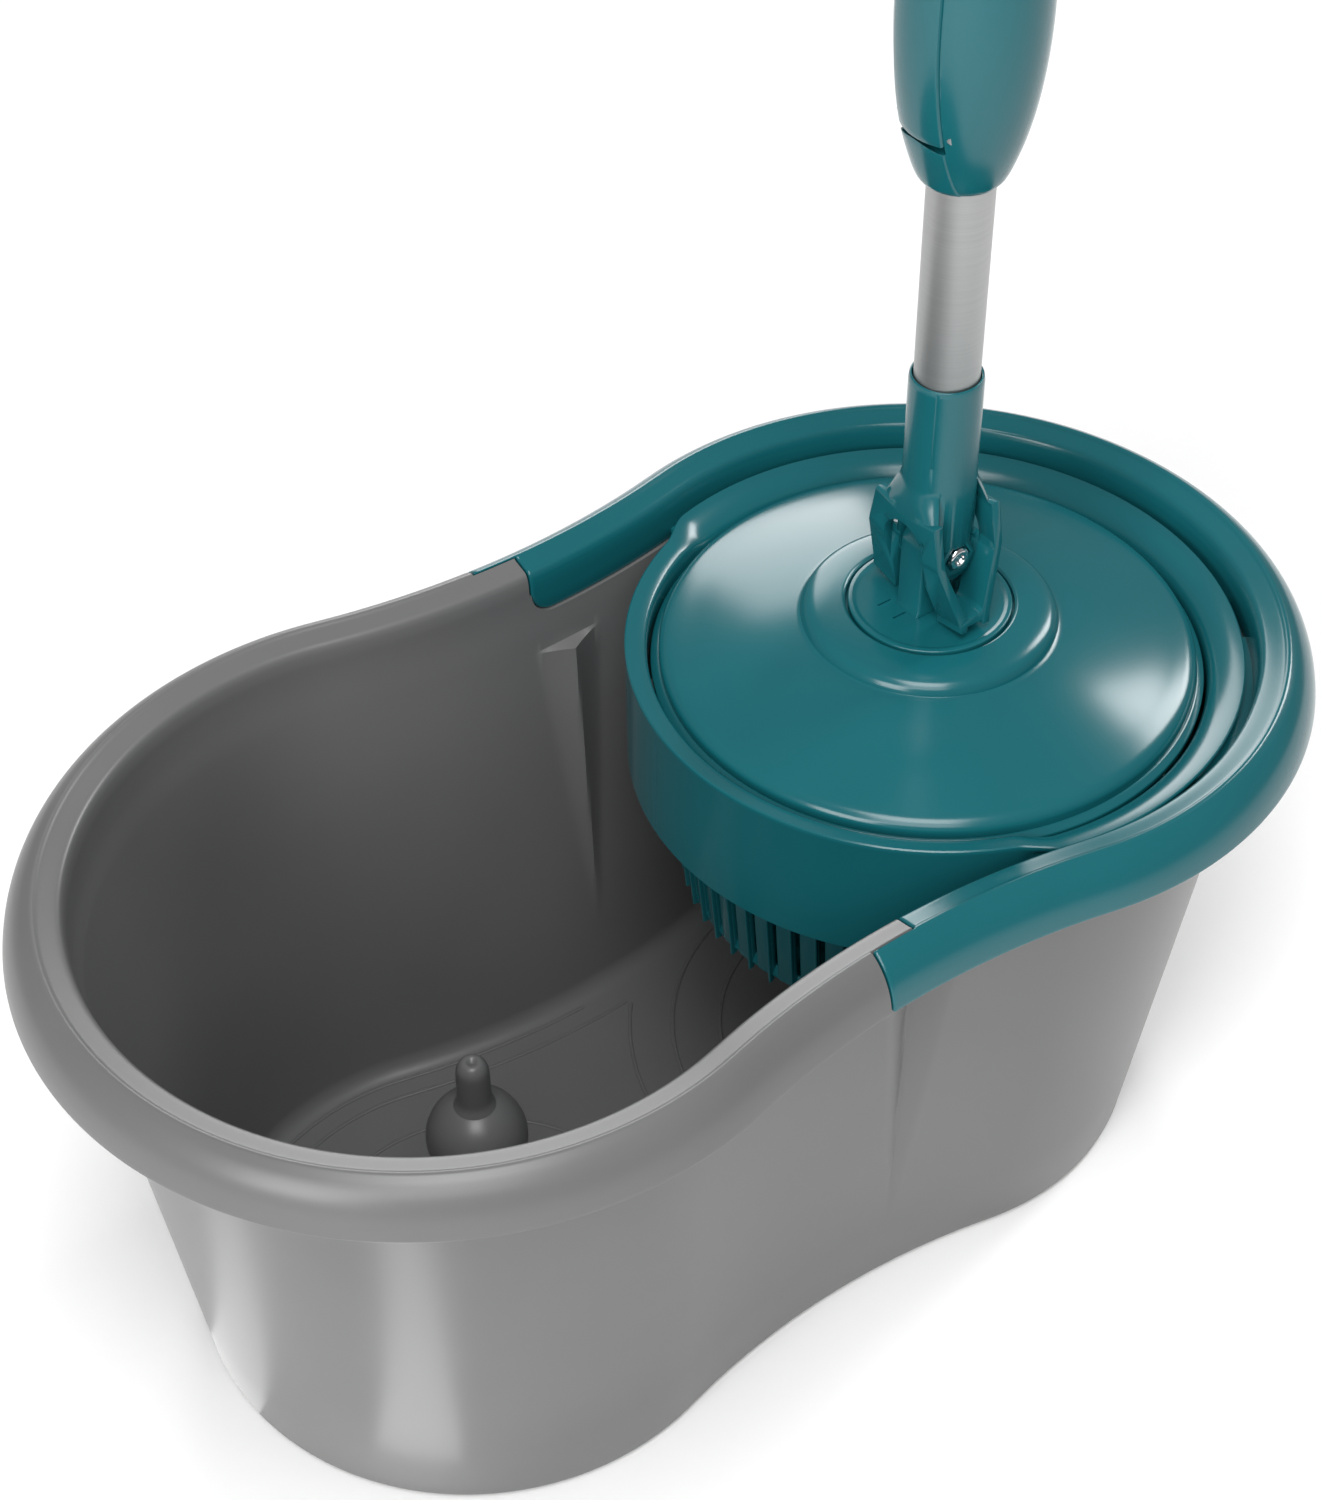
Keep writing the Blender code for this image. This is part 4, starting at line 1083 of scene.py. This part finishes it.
# The channel between funnel and cover is crossed by four gaps: start and end of each bar in degrees
CHANNEL_BARS = ((-106, -83.4), (-72.6, -31.4), (-20.6, 20.6), (31.4, 72.6), (83.4, 106))


class SPINMOP_OT_collar(bpy.types.Operator):
    """The teal cover on the rear rim, and the funnel with its lip, flange and channel"""

    bl_idname = "spin_mop.collar"
    bl_label = "Spinner collar"

    def execute(self, context):
        bm = bmesh.new()
        for start, end in CHANNEL_BARS:
            arc_plate(bm, (89.3 * MM, 97.6 * MM), (165.6 * MM, 167.2 * MM), start, end)
        bmesh.ops.recalc_face_normals(bm, faces=bm.faces)
        for piece in (cover_mesh("collar_cover"), lip_mesh("collar_funnel"),
                      mesh_object("collar_channel", bm, "teal_plastic")):
            finish_piece(piece, "bucket_body", "teal_plastic", "spinner_collar")
        return {"FINISHED"}


class SPINMOP_OT_posts(bpy.types.Operator):
    """The ball post of the wash bowl, and the pin on its top"""

    bl_idname = "spin_mop.posts"
    bl_label = "Posts"

    def execute(self, context):
        ball = []
        for i in range(33):
            angle = math.radians(66 - 116 * i / 32)
            ball.append((15.4 * math.cos(angle), 61 + 15.4 * math.sin(angle)))
        flare = ((11.2, 46.2), (12.4, 38.0), (15.2, 27.0), (20.5, 14.0), (27.0, 6.0), (34.0, 2.7))
        profile = [(0.0, 75.0), (5.0, 75.0), (5.6, 75.3)] + ball[1:-2] + smooth_curve(flare, 5) + [(0.0, 2.7)]
        turned_piece("wash_ball_post", profile, "grey_plastic", "bucket_body", "wash_post", WASH_X)
        top = node_box("wash_pin")[1].z / MM
        dome = smooth_curve((
            (0.0, top - 1.0), (1.0, top - 0.55), (1.9, top - 0.05), (3.1, top - 0.35), (4.2, top - 1.6),
            (4.85, top - 3.3), (5.1, top - 6.0)), 4)
        profile = dome + [(5.15, 79.0), (5.3, 77.2), (5.9, 76.0), (6.4, 75.0), (0.0, 74.0)]
        turned_piece("wash_centre_pin", profile, "grey_plastic", "bucket_body", "wash_pin", WASH_X, 64)
        return {"FINISHED"}


class SPINMOP_OT_basket(bpy.types.Operator):
    """The spinner basket: a floor with a cone, a ring of finned bars, its top band and its centre cap"""

    bl_idname = "spin_mop.basket"
    bl_label = "Spinner basket"

    def execute(self, context):
        look = context.scene.spin_mop_spinner
        target = ("teal_plastic", "basket_body", "basket")
        low, high = node_box("basket")
        foot = low.z / MM
        profile = rounded([
            (0.0, 151.8), (8.6, 151.8, 1.5), (11.6, 148.0, 2.0), (15.6, foot + 13.0, 6.0),
            (22.0, foot + 2.4, 5.0), (66.0, foot + 2.4, 2.0), (70.4, foot + 5.6, 1.0),
            (71.2, foot + 5.6, 0.5), (72.6, foot + 2.2, 1.5),
            (70.2, foot, 1.2), (20.0, foot, 1.0), (13.2, foot - 5.8, 1.0), (10.2, foot - 5.8, 0.4),
            (10.2, 118.0), (8.2, 148.8), (0.0, 148.8),
        ])
        turned_piece("basket_base", profile, *target, steps=168)
        top = high.z / MM
        band = rounded([
            (77.4, top, 0.5), (80.4, top, 1.5), (82.5, top - 1.4, 0.8), (82.4, top - 3.4, 0.7),
            (80.2, top - 4.6, 1.0), (79.6, 157.0, 0.8), (77.4, 156.6, 0.6),
        ])
        turned_piece("basket_rim", band, *target, steps=168)
        bars = bar_wheel_plan("basket_bars", "teal_plastic").grow(
            Count=look.bars, Foot_Radius=71.2 * MM, Head_Radius=78.4 * MM, Foot_Height=low.z + 1.6 * MM,
            Head_Height=159 * MM, Depth=1.9 * MM, Width=look.bar_width, Corner=0.4 * MM, Centre=SPIN_X,
        )
        fins = bar_wheel_plan("basket_fins", "teal_plastic").grow(
            Count=look.bars, Foot_Radius=72.2 * MM, Head_Radius=79.3 * MM, Foot_Height=low.z - 0.4 * MM,
            Head_Height=158 * MM, Depth=look.fin_depth, Width=look.fin_width, Corner=0.3 * MM, Centre=SPIN_X,
            Start_Angle=0.035,
        )
        for piece in (bars, fins):
            finish_piece(piece, "basket_body", "teal_plastic", "basket")
        foot = node_box("basket_cap")[0].z / MM
        cap = [(0.0, foot + 10.0), (4.8, foot + 10.0, 4.0), (8.6, foot + 4.0, 2.0)]
        cap += [(9.3, foot, 0.3), (0.0, foot)]
        turned_piece("basket_centre_cap", rounded(cap), "teal_plastic", "basket_body", "basket_cap", steps=64)
        return {"FINISHED"}


class SPINMOP_OT_plate(bpy.types.Operator):
    """The domed mop plate with its raised centre"""

    bl_idname = "spin_mop.plate"
    bl_label = "Mop plate"

    def execute(self, context):
        edge = node_box("mop_plate")[1].x / MM - SPIN_X / MM
        centre = smooth_curve((
            (25.0, 188.35), (25.6, 188.75), (26.4, 188.8), (30.0, 188.45), (33.4, 187.85), (35.5, 187.15),
            (36.9, 186.15), (37.7, 184.95), (38.1, 183.9)), 5)
        dome = smooth_curve((
            (38.6, 183.62), (46.0, 182.15), (54.0, 180.3), (62.0, 178.2), (70.0, 175.9), (74.5, 174.6),
            (77.4, 173.6), (79.0, 172.5), (edge - 0.15, 171.2), (edge, 169.9)), 5)
        profile = centre + dome + [
            (edge, 166.6), (edge - 0.5, 165.9), (edge - 1.6, 165.9), (edge - 2.2, 166.6), (edge - 2.6, 170.6),
            (72.0, 173.2), (60.0, 176.6), (43.0, 180.2), (36.6, 182.0), (34.0, 185.0), (27.3, 186.2),
            (27.3, 164.7), (22.5, 164.7), (22.5, 185.8), (24.75, 185.8),
        ]
        turned_piece("mop_dome", profile, "teal_plastic", "mop_head", "mop_plate", steps=256, sharp=38.0)
        return {"FINISHED"}


LUG_HALF_Y = 5.1
LUG_RADIUS = 8.5
BORE_RADIUS = 2.3
BORE_AXIS_Z = PIVOT_Z / MM


class SPINMOP_OT_hub(bpy.types.Operator):
    """The turning hub disc with the lug that carries the bolt"""

    bl_idname = "spin_mop.hub"
    bl_label = "Hub"

    def execute(self, context):
        low, high = node_box("hub_disc")
        radius = (high.x - low.x) / 2 / MM
        top = HUB_TOP_Z / MM
        profile = rounded([
            (0.0, top - 0.25), (radius - 2.4, top - 0.25, 2.0), (radius - 1.3, top + 0.05, 0.6),
            (radius, top - 0.1, 0.5), (radius, top - 3.0, 0.3), (22.0, top - 3.0), (22.0, 160.0),
            (19.8, 160.0), (19.8, top - 4.0), (0.0, top - 4.0),
        ])
        disc = turned("hub_turntable", profile, "teal_plastic", steps=160)
        cuts = []
        for y in (6.5, -0.6):
            cuts.append(block(f"clip_slot_{y}", at(-14.4, y - 0.28, top - 2), at(-9.6, y + 0.28, top + 1)))
        combine(disc, cuts, "DIFFERENCE")
        disc.data.set_sharp_from_angle(angle=math.radians(32))
        finish_piece(disc, "mop_head", "teal_plastic", "hub_disc")
        outline = [(9.6, top - 0.6), (8.5, top + 1.6)]
        outline += arc(LUG_RADIUS, BORE_AXIS_Z, [math.pi * i / 24 for i in range(25)])
        outline += [(-8.5, top + 1.6), (-9.6, top - 0.6)]
        lug = slab("hub_lug", outline, 2 * LUG_HALF_Y, Matrix.Translation(at(0, 0, 0)), "teal_plastic")
        bore = rod("lug_bore", BORE_RADIUS, at(0, -12, BORE_AXIS_Z), at(0, 12, BORE_AXIS_Z))
        combine(lug, [bore], "DIFFERENCE")
        soften(lug, 0.7)
        finish_piece(lug, "mop_head", "teal_plastic", "hub_disc")
        return {"FINISHED"}


class SPINMOP_OT_refill(bpy.types.Operator):
    """The microfibre refill: its woven ring and the looped yarns that hang in the basket"""

    bl_idname = "spin_mop.refill"
    bl_label = "Refill"

    def execute(self, context):
        look = context.scene.spin_mop_spinner
        ring = rounded([(27.7, 168.2, 0.8), (70.0, 168.2, 1.3), (70.0, 165.2, 1.3), (27.7, 165.2, 0.8)])
        turned_piece("refill_band", ring, "white_microfibre", "mop_head", "refill_ring", steps=144)
        plan = strand_plan("refill_loops", "white_microfibre")
        strands = plan.grow(Count=look.strands, Yarn=look.yarn_radius, Centre=SPIN_X)
        finish_piece(strands, "mop_head", "white_microfibre", "refill_strands")
        return {"FINISHED"}


# The fork, in millimetres and degrees
EAR_PLATE_Y = 9.3
BOSS_Y = 10.6
WEB_START_Y = 3.0
PLATE_HALF_X = 8.6
LUG_GAP = 0.4
FLARE_DEGREES = 11.5
FLARE_AXIS_Z = 226.0

# Sections of the fork's shoulder: (height, half x, half y, power of the superellipse)
SHOULDER = (
    (240.0, 10.5, 10.5, 2.0), (236.5, 10.62, 10.62, 2.0), (234.0, 10.9, 11.0, 2.2), (231.0, 11.5, 11.8, 2.8),
    (228.0, 11.9, 12.6, 3.6), (225.0, 12.2, 13.3, 5.0), (220.0, 12.2, 14.0, 7.0),
)


def ear_frame(side):
    """Places an ear's own (x, z) plan on the flared side of the yoke."""
    flare = Matrix.Rotation(math.radians(FLARE_DEGREES) * side, 4, "X")
    foot = Matrix.Translation((0.0, 0.0, -FLARE_AXIS_Z * MM))
    return Matrix.Translation(at(0, side * 10.9, FLARE_AXIS_Z)) @ flare @ foot


def shoulder_solid(name):
    """The smooth body that widens from the round socket to the square tops of the ears."""
    rings = []
    for height, half_x, half_y, power in SHOULDER:
        ring = []
        for i in range(64):
            angle = 2 * math.pi * i / 64
            across = math.copysign(abs(math.cos(angle)) ** (2 / power), math.cos(angle))
            along = math.copysign(abs(math.sin(angle)) ** (2 / power), math.sin(angle))
            ring.append(at(half_x * across, half_y * along, height))
        rings.append(ring)
    return lofted(name, rings, None)


def standing(name, outline, side, near, far):
    """A slab on one side of the middle, between two distances from it."""
    return slab(name, outline, far - near, Matrix.Translation(at(0, side * (near + far) / 2, 0)))


def both_sides(points):
    """Corners down the left side, and the same mirrored up the right side."""
    return rounded(points + [(-x, *rest) for x, *rest in reversed(points)])


class SPINMOP_OT_yoke(bpy.types.Operator):
    """The forked foot of the handle: a socket over two flared ears, open in front of the bolt's plates"""

    bl_idname = "spin_mop.yoke"
    bl_label = "Yoke"

    def execute(self, context):
        top = node_box("yoke")[1].z / MM
        socket = [(0.0, 236.0), (9.6, 236.0), (9.6, top - 0.6), (9.75, top, 0.0), (10.35, top, 0.3)]
        socket += [(10.6, top - 1.6, 0.5), (10.7, 246.0), (10.7, 214.6), (0.0, 214.6)]
        yoke = turned("yoke_fork", rounded(socket), "teal_plastic")
        ear = both_sides([(-12.2, 227.5, 1.0), (-12.0, 214.0, 9.0), (-5.6, 192.8, 3.0), (-5.3, 190.2, 0.4),
                          (-3.0, 190.2, 0.2), (-2.8, 191.7, 0.4)])
        window = both_sides([(-6.5, 237.0), (-9.2, 227.0, 5.0), (-9.2, 214.0, 8.0), (-2.9, 195.2, 2.2)])
        plate = [(-PLATE_HALF_X, 216.4), (PLATE_HALF_X, 216.4)]
        plate += arc(PLATE_HALF_X, BORE_AXIS_Z, [-math.pi * i / 16 for i in range(17)])
        plate.reverse()
        hexagon = [math.pi * i / 3 for i in range(6)]
        additions = [shoulder_solid("yoke_shoulder")]
        windows = []
        for side, name in ((-1, "front"), (1, "rear")):
            placed = ear_frame(side) @ Matrix.Translation((0.0, -side * 3.0 * MM, 0.0))
            additions.append(slab(f"ear_{name}", ear, 10.6, placed))
            additions.append(standing(f"web_{name}", plate, side, WEB_START_Y, EAR_PLATE_Y))
            opening = standing(f"window_{name}", window, side, 5.0, 26.0)
            kept = [rod(f"core_{name}", 10.95, at(0, 0, 214.6), at(0, 0, 250), steps=96)]
            kept.append(standing(f"plate_{name}", plate, side, WEB_START_Y, EAR_PLATE_Y))
            boss = arc(6.3, BORE_AXIS_Z, hexagon)
            kept.append(standing(f"boss_{name}", boss, side, WEB_START_Y, BOSS_Y))
            windows.append(combine(opening, kept, "DIFFERENCE"))
        combine(yoke, additions, "UNION")
        cuts = [rod("ear_bores", BORE_RADIUS, at(0, -24, BORE_AXIS_Z), at(0, 24, BORE_AXIS_Z))]
        recess = arc(4.7, BORE_AXIS_Z, hexagon)
        cuts += [standing(f"hex_recess_{side}", recess, side, BOSS_Y - 1.3, BOSS_Y + 0.5) for side in (-1, 1)]
        gap = LUG_HALF_Y + LUG_GAP
        cuts.append(block("slot_gap", at(-15, -gap, 186), at(15, gap, 220.3)))
        for side in (-1, 1):
            near = side * (PLATE_HALF_X + 0.3)
            far = side * 15
            inner, outer = sorted((near, far))
            cuts.append(block(f"side_gap_{side}", at(inner, -8.6, 186), at(outer, 8.6, 214)))
            cuts.append(rod(f"side_arch_{side}", 8.6, at(near, 0, 214), at(far, 0, 214)))
        turn = math.radians(216)
        x, y = 10.95 * math.cos(turn), 10.95 * math.sin(turn)
        cuts.append(rod("socket_groove", 0.5, at(x, y, 244), at(x, y, top + 2), steps=16))
        combine(yoke, windows + cuts, "DIFFERENCE")
        soften(yoke, context.scene.spin_mop_handle.edge / MM, 42.0)
        finish_piece(yoke, "lower_handle", "teal_plastic", "yoke")
        return {"FINISHED"}


# The round head of the bolt in millimetres: (radius, height over its seat)
HEAD = (
    (0.0, -0.4), (1.2, -0.3), (1.7, 0.6), (2.4, 0.8), (3.1, 0.6), (3.5, 0.1), (3.6, -0.5), (3.6, -1.4),
)
NUT_FLAT = 3.4
NUT_START = 2.6


class SPINMOP_OT_bolt(bpy.types.Operator):
    """The plated pivot bolt and its nut"""

    bl_idname = "spin_mop.bolt"
    bl_label = "Pivot bolt"

    def execute(self, context):
        steps = 48
        for side, name, node in ((-1, "pivot_screw", "pivot_bolt"), (1, "pivot_lock_nut", "pivot_nut")):
            bm = bmesh.new()
            rings = []
            for radius, rise in smooth_curve(HEAD, 3) + [(0.0, -1.4)]:
                ring = []
                for i in range(steps if radius > 0.0 else 1):
                    angle = 2 * math.pi * i / steps
                    reach = radius
                    if side > 0 and radius > NUT_START:
                        corner = math.cos((angle + math.pi / 6) % (math.pi / 3) - math.pi / 6)
                        reach = NUT_FLAT / corner * radius / HEAD[-1][0]
                    spot = at(
                        reach * math.cos(angle), side * (BOSS_Y + 0.3 + rise),
                        BORE_AXIS_Z + reach * math.sin(angle),
                    )
                    ring.append(bm.verts.new(spot))
                rings.append(ring)
            band_faces(bm, rings)
            bmesh.ops.recalc_face_normals(bm, faces=bm.faces)
            head = mesh_object(name, bm, "chrome_steel", 28.0)
            finish_piece(head, "lower_handle", "chrome_steel", node)
        shank = rod("pivot_shank", 2.0, at(0, -9.6, BORE_AXIS_Z), at(0, 9.6, BORE_AXIS_Z), "chrome_steel")
        shank.data.shade_smooth()
        shank.data.set_sharp_from_angle(angle=math.radians(40))
        finish_piece(shank, "lower_handle", "chrome_steel", "pivot_bolt")
        return {"FINISHED"}


class SPINMOP_OT_tubes(bpy.types.Operator):
    """The two telescopic steel tubes"""

    bl_idname = "spin_mop.tubes"
    bl_label = "Tubes"

    def execute(self, context):
        wall = context.scene.spin_mop_handle.tube_wall / MM
        for node, body in (("lower_tube", "lower_handle"), ("upper_tube", "upper_handle")):
            low, high = node_box(node)
            radius = (high.x - low.x) / 2 / MM
            low, high = low.z / MM, high.z / MM
            profile = [(radius - wall, high, 0.2), (radius, high, 0.3), (radius, low, 0.3)]
            profile.append((radius - wall, low, 0.2))
            turned_piece(f"{node}_drawn", rounded(profile), "satin_steel", body, node)
        return {"FINISHED"}


GRIP_SECTION = (
    (12.6, 478.0), (13.0, 477.4), (13.5, 475.5), (15.2, 458.0), (17.8, 434.0), (19.6, 408.0), (20.2, 386.0),
    (19.8, 371.0), (18.4, 358.0), (16.3, 347.5), (13.9, 339.5), (12.2, 335.2), (11.2, 333.7), (10.6, 333.0),
)


def grip_skin(name, grown, slot):
    """The grip's outer form as a solid, grown outwards evenly."""
    line = smooth_curve(GRIP_SECTION, 4)
    skin = [(radius + grown, height) for radius, height in line]
    return turned(name, [(0.0, line[0][1])] + skin + [(0.0, line[-1][1])], slot, steps=128)


class SPINMOP_OT_lock_grip(bpy.types.Operator):
    """The flared grip that locks the upper tube, with its swinging lever let into the skin"""

    bl_idname = "spin_mop.lock_grip"
    bl_label = "Lock grip"

    def execute(self, context):
        low, high = node_box("lock_lever")
        half = (high.y - low.y) / 2 / MM
        low, high = low.z / MM, high.z / MM
        pocket_low, pocket_high, pocket_half = low - 0.15, high + 0.3, half + 0.35
        grip = grip_skin("lock_grip_body", 0.0, "teal_plastic")
        strips = []
        for name, start, end in (("below", 333.4, pocket_low), ("above", pocket_high, 470.0)):
            strip = grip_skin(f"strip_{name}", 0.55, None)
            keep = block(f"keep_{name}", at(-30, -half, start), at(-6, half, end))
            strips.append(combine(strip, [keep], "INTERSECT"))
        combine(grip, strips, "UNION")
        side = Vector((0.0, pocket_half * MM, 0.0))
        ends = (LEVER_PIVOT - side, LEVER_PIVOT + side)
        cuts = [block("lever_pocket", at(-30, -pocket_half, pocket_low), at(-12.2, pocket_half, pocket_high))]
        room = block("swing_room", at(-30, -20, 340), at(-11.3, 20, 360))
        cuts.append(combine(rod("lever_swing", 5.0, *ends), [room], "INTERSECT"))
        cuts.append(rod("cam_swing", 3.3, *ends))
        cuts.append(rod("tube_bore", 11.4, at(0, 0, 371.5), at(0, 0, 480), steps=96))
        cuts.append(rod("neck_bore", 9.55, at(0, 0, 330), at(0, 0, 372), steps=96))
        combine(grip, cuts, "DIFFERENCE")
        soften(grip, 0.2)
        finish_piece(grip, "upper_handle", "teal_plastic", "lock_grip")
        lever = grip_skin("lock_lever_arm", 0.6, "teal_plastic")
        keep = block("lever_keep", at(-30, -half, low), at(-13, half, high))
        combine(keep, [block("lever_cam", at(-14, -half, low + 0.7), at(-11.2, half, 356))], "UNION")
        combine(lever, [keep], "INTERSECT")
        soften(lever, 0.25)
        finish_piece(lever, "lever", "teal_plastic", "lock_lever")
        return {"FINISHED"}


class SPINMOP_OT_hand_grip(bpy.types.Operator):
    """The ringed hand grip and the cap with the hanging hole"""

    bl_idname = "spin_mop.hand_grip"
    bl_label = "Hand grip"

    def execute(self, context):
        low, high = node_box("hand_grip")
        bottom, top = low.z / MM, high.z / MM
        outer = smooth_curve((
            (13.4, top), (14.6, top - 1.0), (15.4, top - 4.0), (14.8, top - 16.0), (14.4, top - 30.0),
            (14.7, bottom + 62), (15.0, bottom + 40.0), (14.5, bottom + 22.0), (14.2, bottom + 12.0),
            (14.6, bottom + 3.0), (14.3, bottom + 0.8), (13.4, bottom)), 4)
        profile = [(11.5, top)] + outer + [(11.5, bottom)]
        turned_piece("hand_sleeve", profile, "teal_plastic", "upper_handle", "hand_grip")
        rings = ring_stack_plan("hand_rings", "teal_plastic").grow(
            Count=context.scene.spin_mop_handle.grip_rings, Start=low.z + 22 * MM, Pitch=4.6 * MM,
            Radius=14.35 * MM, Bead=0.9 * MM, Centre=SPIN_X,
        )
        finish_piece(rings, "upper_handle", "teal_plastic", "hand_grip")
        low, high = node_box("hang_cap")
        base, peak = low.z / MM, high.z / MM
        line = smooth_curve((
            (0.0, peak), (3.0, peak - 0.25), (6.6, peak - 1.6), (9.6, peak - 4.8), (11.6, peak - 9.5),
            (12.8, peak - 16.0), (13.4, peak - 25.0), (13.6, base + 0.4)), 5)
        cap = turned("hang_cap_dome", line + [(13.4, base), (0.0, base)], "teal_plastic")
        hole = rod("hang_bore", 5, at(0, -20, peak - 15), at(0, 20, peak - 15), steps=64)
        combine(cap, [hole], "DIFFERENCE")
        soften(cap, 0.6)
        finish_piece(cap, "upper_handle", "teal_plastic", "hang_cap")
        return {"FINISHED"}


INNER_PARTS = {
    "grey_plastic": ("basket_post",),
    "satin_steel": ("basket_spindle", "twist_bar", "lever_pin"),
    "nylon": ("thrust_washer", "basket_bush", "head_bush", "hub_retainer", "clutch_housing", "clutch_cap",
              "drive_nut", "bar_plug"),
}


class SPINMOP_OT_inner_parts(bpy.types.Operator):
    """Gives the hidden working parts their finishes"""

    bl_idname = "spin_mop.inner_parts"
    bl_label = "Inner parts"

    def execute(self, context):
        for slot, names in INNER_PARTS.items():
            for name in names:
                for holder in frame["nodes"][name].material_slots:
                    holder.material = finish_for(slot)
        return {"FINISHED"}


# ---------------------------------------------------------------- stage

# Softboxes: (name, place, target, size, share of the key light's power)
OBJECT_CENTRE = (0.0, 0.0, 0.15)
PLATE_CENTRE = (SPIN_X, 0.0, 0.18)
SOFTBOXES = (
    ("key_left", (-1.4, -0.6, 0.85), OBJECT_CENTRE, (0.7, 0.8), 1.5),
    ("rear_left", (0.92, 1.68, 0.86), PLATE_CENTRE, (0.68, 1.25), 1.5),
    ("rear_right", (1.72, 0.17, 1.33), PLATE_CENTRE, (0.4, 0.85), 1.6),
    ("overhead", (-0.38, -0.52, 2.0), OBJECT_CENTRE, (0.8, 0.8), 1.9),
    ("fill", (-0.5, -0.68, 1.0), (0.0, 0.0, 0.06), (0.6, 0.6), 0.5),
)
# Narrow lights on the floor that draw upright bands on the bucket: (x, y, turn in degrees, power in watts)
FLOOR_STRIPS = ((-0.219, 0.0147, 173.0, 0.017), (-0.199, -0.117, 226.0, 0.034))
STRIP_SIZE = (0.14, 0.034)
STRIP_Z = 0.001
FLOOR_HALF = 6.0
FLOOR_Z = -0.0004
CAMERA_PLACE = (-0.36154, -0.49541, 0.74756)
CAMERA_BACK = (-0.4236, -0.5963, 0.6818)
CAMERA_RIGHT = (0.8152, -0.5791, 0.0)
CAMERA_ROLL = math.radians(-0.35)
CAMERA_LENS = 70.71


def softbox(name, place, target, size, power):
    light = bpy.data.lights.new(name, "AREA")
    light.shape = "RECTANGLE"
    light.size, light.size_y = size
    light.energy = power
    obj = bpy.data.objects.new(name, light)
    obj.location = place
    way = Vector(target) - Vector(place)
    obj.rotation_euler = way.to_track_quat("-Z", "Y").to_euler()
    obj.visible_camera = False
    bpy.context.scene.collection.objects.link(obj)
    return obj


class SPINMOP_OT_stage(bpy.types.Operator):
    """The pale floor, the soft studio light and the camera"""

    bl_idname = "spin_mop.stage"
    bl_label = "Stage"

    def execute(self, context):
        look = context.scene.spin_mop_stage
        bm = bmesh.new()
        bmesh.ops.create_grid(bm, x_segments=8, y_segments=8, size=FLOOR_HALF)
        floor = mesh_object("studio_floor", bm, None)
        floor.data.materials.append(studio_paper("studio_paper", look.floor_colour, look.floor_glow))
        floor.location.z = FLOOR_Z
        world = bpy.data.worlds.new("studio_world")
        world.use_nodes = True
        background = world.node_tree.nodes["Background"]
        background.inputs["Color"].default_value = (1.0, 1.0, 1.0, 1.0)
        background.inputs["Strength"].default_value = look.ambient
        context.scene.world = world
        context.scene.view_settings.view_transform = "Standard"
        for name, place, target, size, share in SOFTBOXES:
            softbox(name, place, target, size, look.key * share)
        for number, (x, y, turn, power) in enumerate(FLOOR_STRIPS):
            strip = softbox(f"floor_strip_{number}", (x, y, STRIP_Z), (x, y, 1.0), STRIP_SIZE, power)
            strip.rotation_euler = (math.pi, 0.0, math.radians(turn))
        camera = bpy.data.cameras.new("studio_camera")
        camera.sensor_width = 36.0
        camera.lens = CAMERA_LENS
        camera.clip_start = 0.02
        camera.clip_end = 60.0
        obj = bpy.data.objects.new("studio_camera", camera)
        back = Vector(CAMERA_BACK).normalized()
        right = Vector(CAMERA_RIGHT).normalized()
        up = back.cross(right)
        side = right * math.cos(CAMERA_ROLL) + up * math.sin(CAMERA_ROLL)
        top = up * math.cos(CAMERA_ROLL) - right * math.sin(CAMERA_ROLL)
        basis = Matrix((side, top, back)).transposed().to_4x4()
        obj.matrix_world = Matrix.Translation(CAMERA_PLACE) @ basis
        context.scene.collection.objects.link(obj)
        context.scene.camera = obj
        return {"FINISHED"}


class SPINMOP_PT_panel(bpy.types.Panel):
    """Lists the pieces in the sidebar."""

    bl_idname = "SPINMOP_PT_panel"
    bl_label = "Spin Mop"
    bl_space_type = "VIEW_3D"
    bl_region_type = "UI"
    bl_category = "Spin Mop"

    def draw(self, context):
        layout = self.layout
        for name in SETTINGS:
            group = getattr(context.scene, name)
            box = layout.box()
            for key in group.__annotations__:
                box.prop(group, key)
        for operator in OPERATORS:
            layout.operator(operator.bl_idname)


SETTINGS = {
    "spin_mop_finish": SpinMopFinish,
    "spin_mop_bucket": SpinMopBucket,
    "spin_mop_spinner": SpinMopSpinner,
    "spin_mop_handle": SpinMopHandle,
    "spin_mop_stage": SpinMopStage,
}
OPERATORS = (
    SPINMOP_OT_bucket,
    SPINMOP_OT_collar,
    SPINMOP_OT_posts,
    SPINMOP_OT_basket,
    SPINMOP_OT_plate,
    SPINMOP_OT_hub,
    SPINMOP_OT_refill,
    SPINMOP_OT_yoke,
    SPINMOP_OT_bolt,
    SPINMOP_OT_tubes,
    SPINMOP_OT_lock_grip,
    SPINMOP_OT_hand_grip,
    SPINMOP_OT_inner_parts,
    SPINMOP_OT_stage,
)


def register():
    for name, group in SETTINGS.items():
        bpy.utils.register_class(group)
        setattr(bpy.types.Scene, name, PointerProperty(type=group))
    for operator in OPERATORS:
        bpy.utils.register_class(operator)
    bpy.utils.register_class(SPINMOP_PT_panel)


def unregister():
    bpy.utils.unregister_class(SPINMOP_PT_panel)
    for operator in reversed(OPERATORS):
        bpy.utils.unregister_class(operator)
    for name, group in reversed(SETTINGS.items()):
        delattr(bpy.types.Scene, name)
        bpy.utils.unregister_class(group)


def main():
    register()
    for operator in OPERATORS:
        group, call = operator.bl_idname.split(".")
        getattr(getattr(bpy.ops, group), call)()


if __name__ == "__main__":
    main()
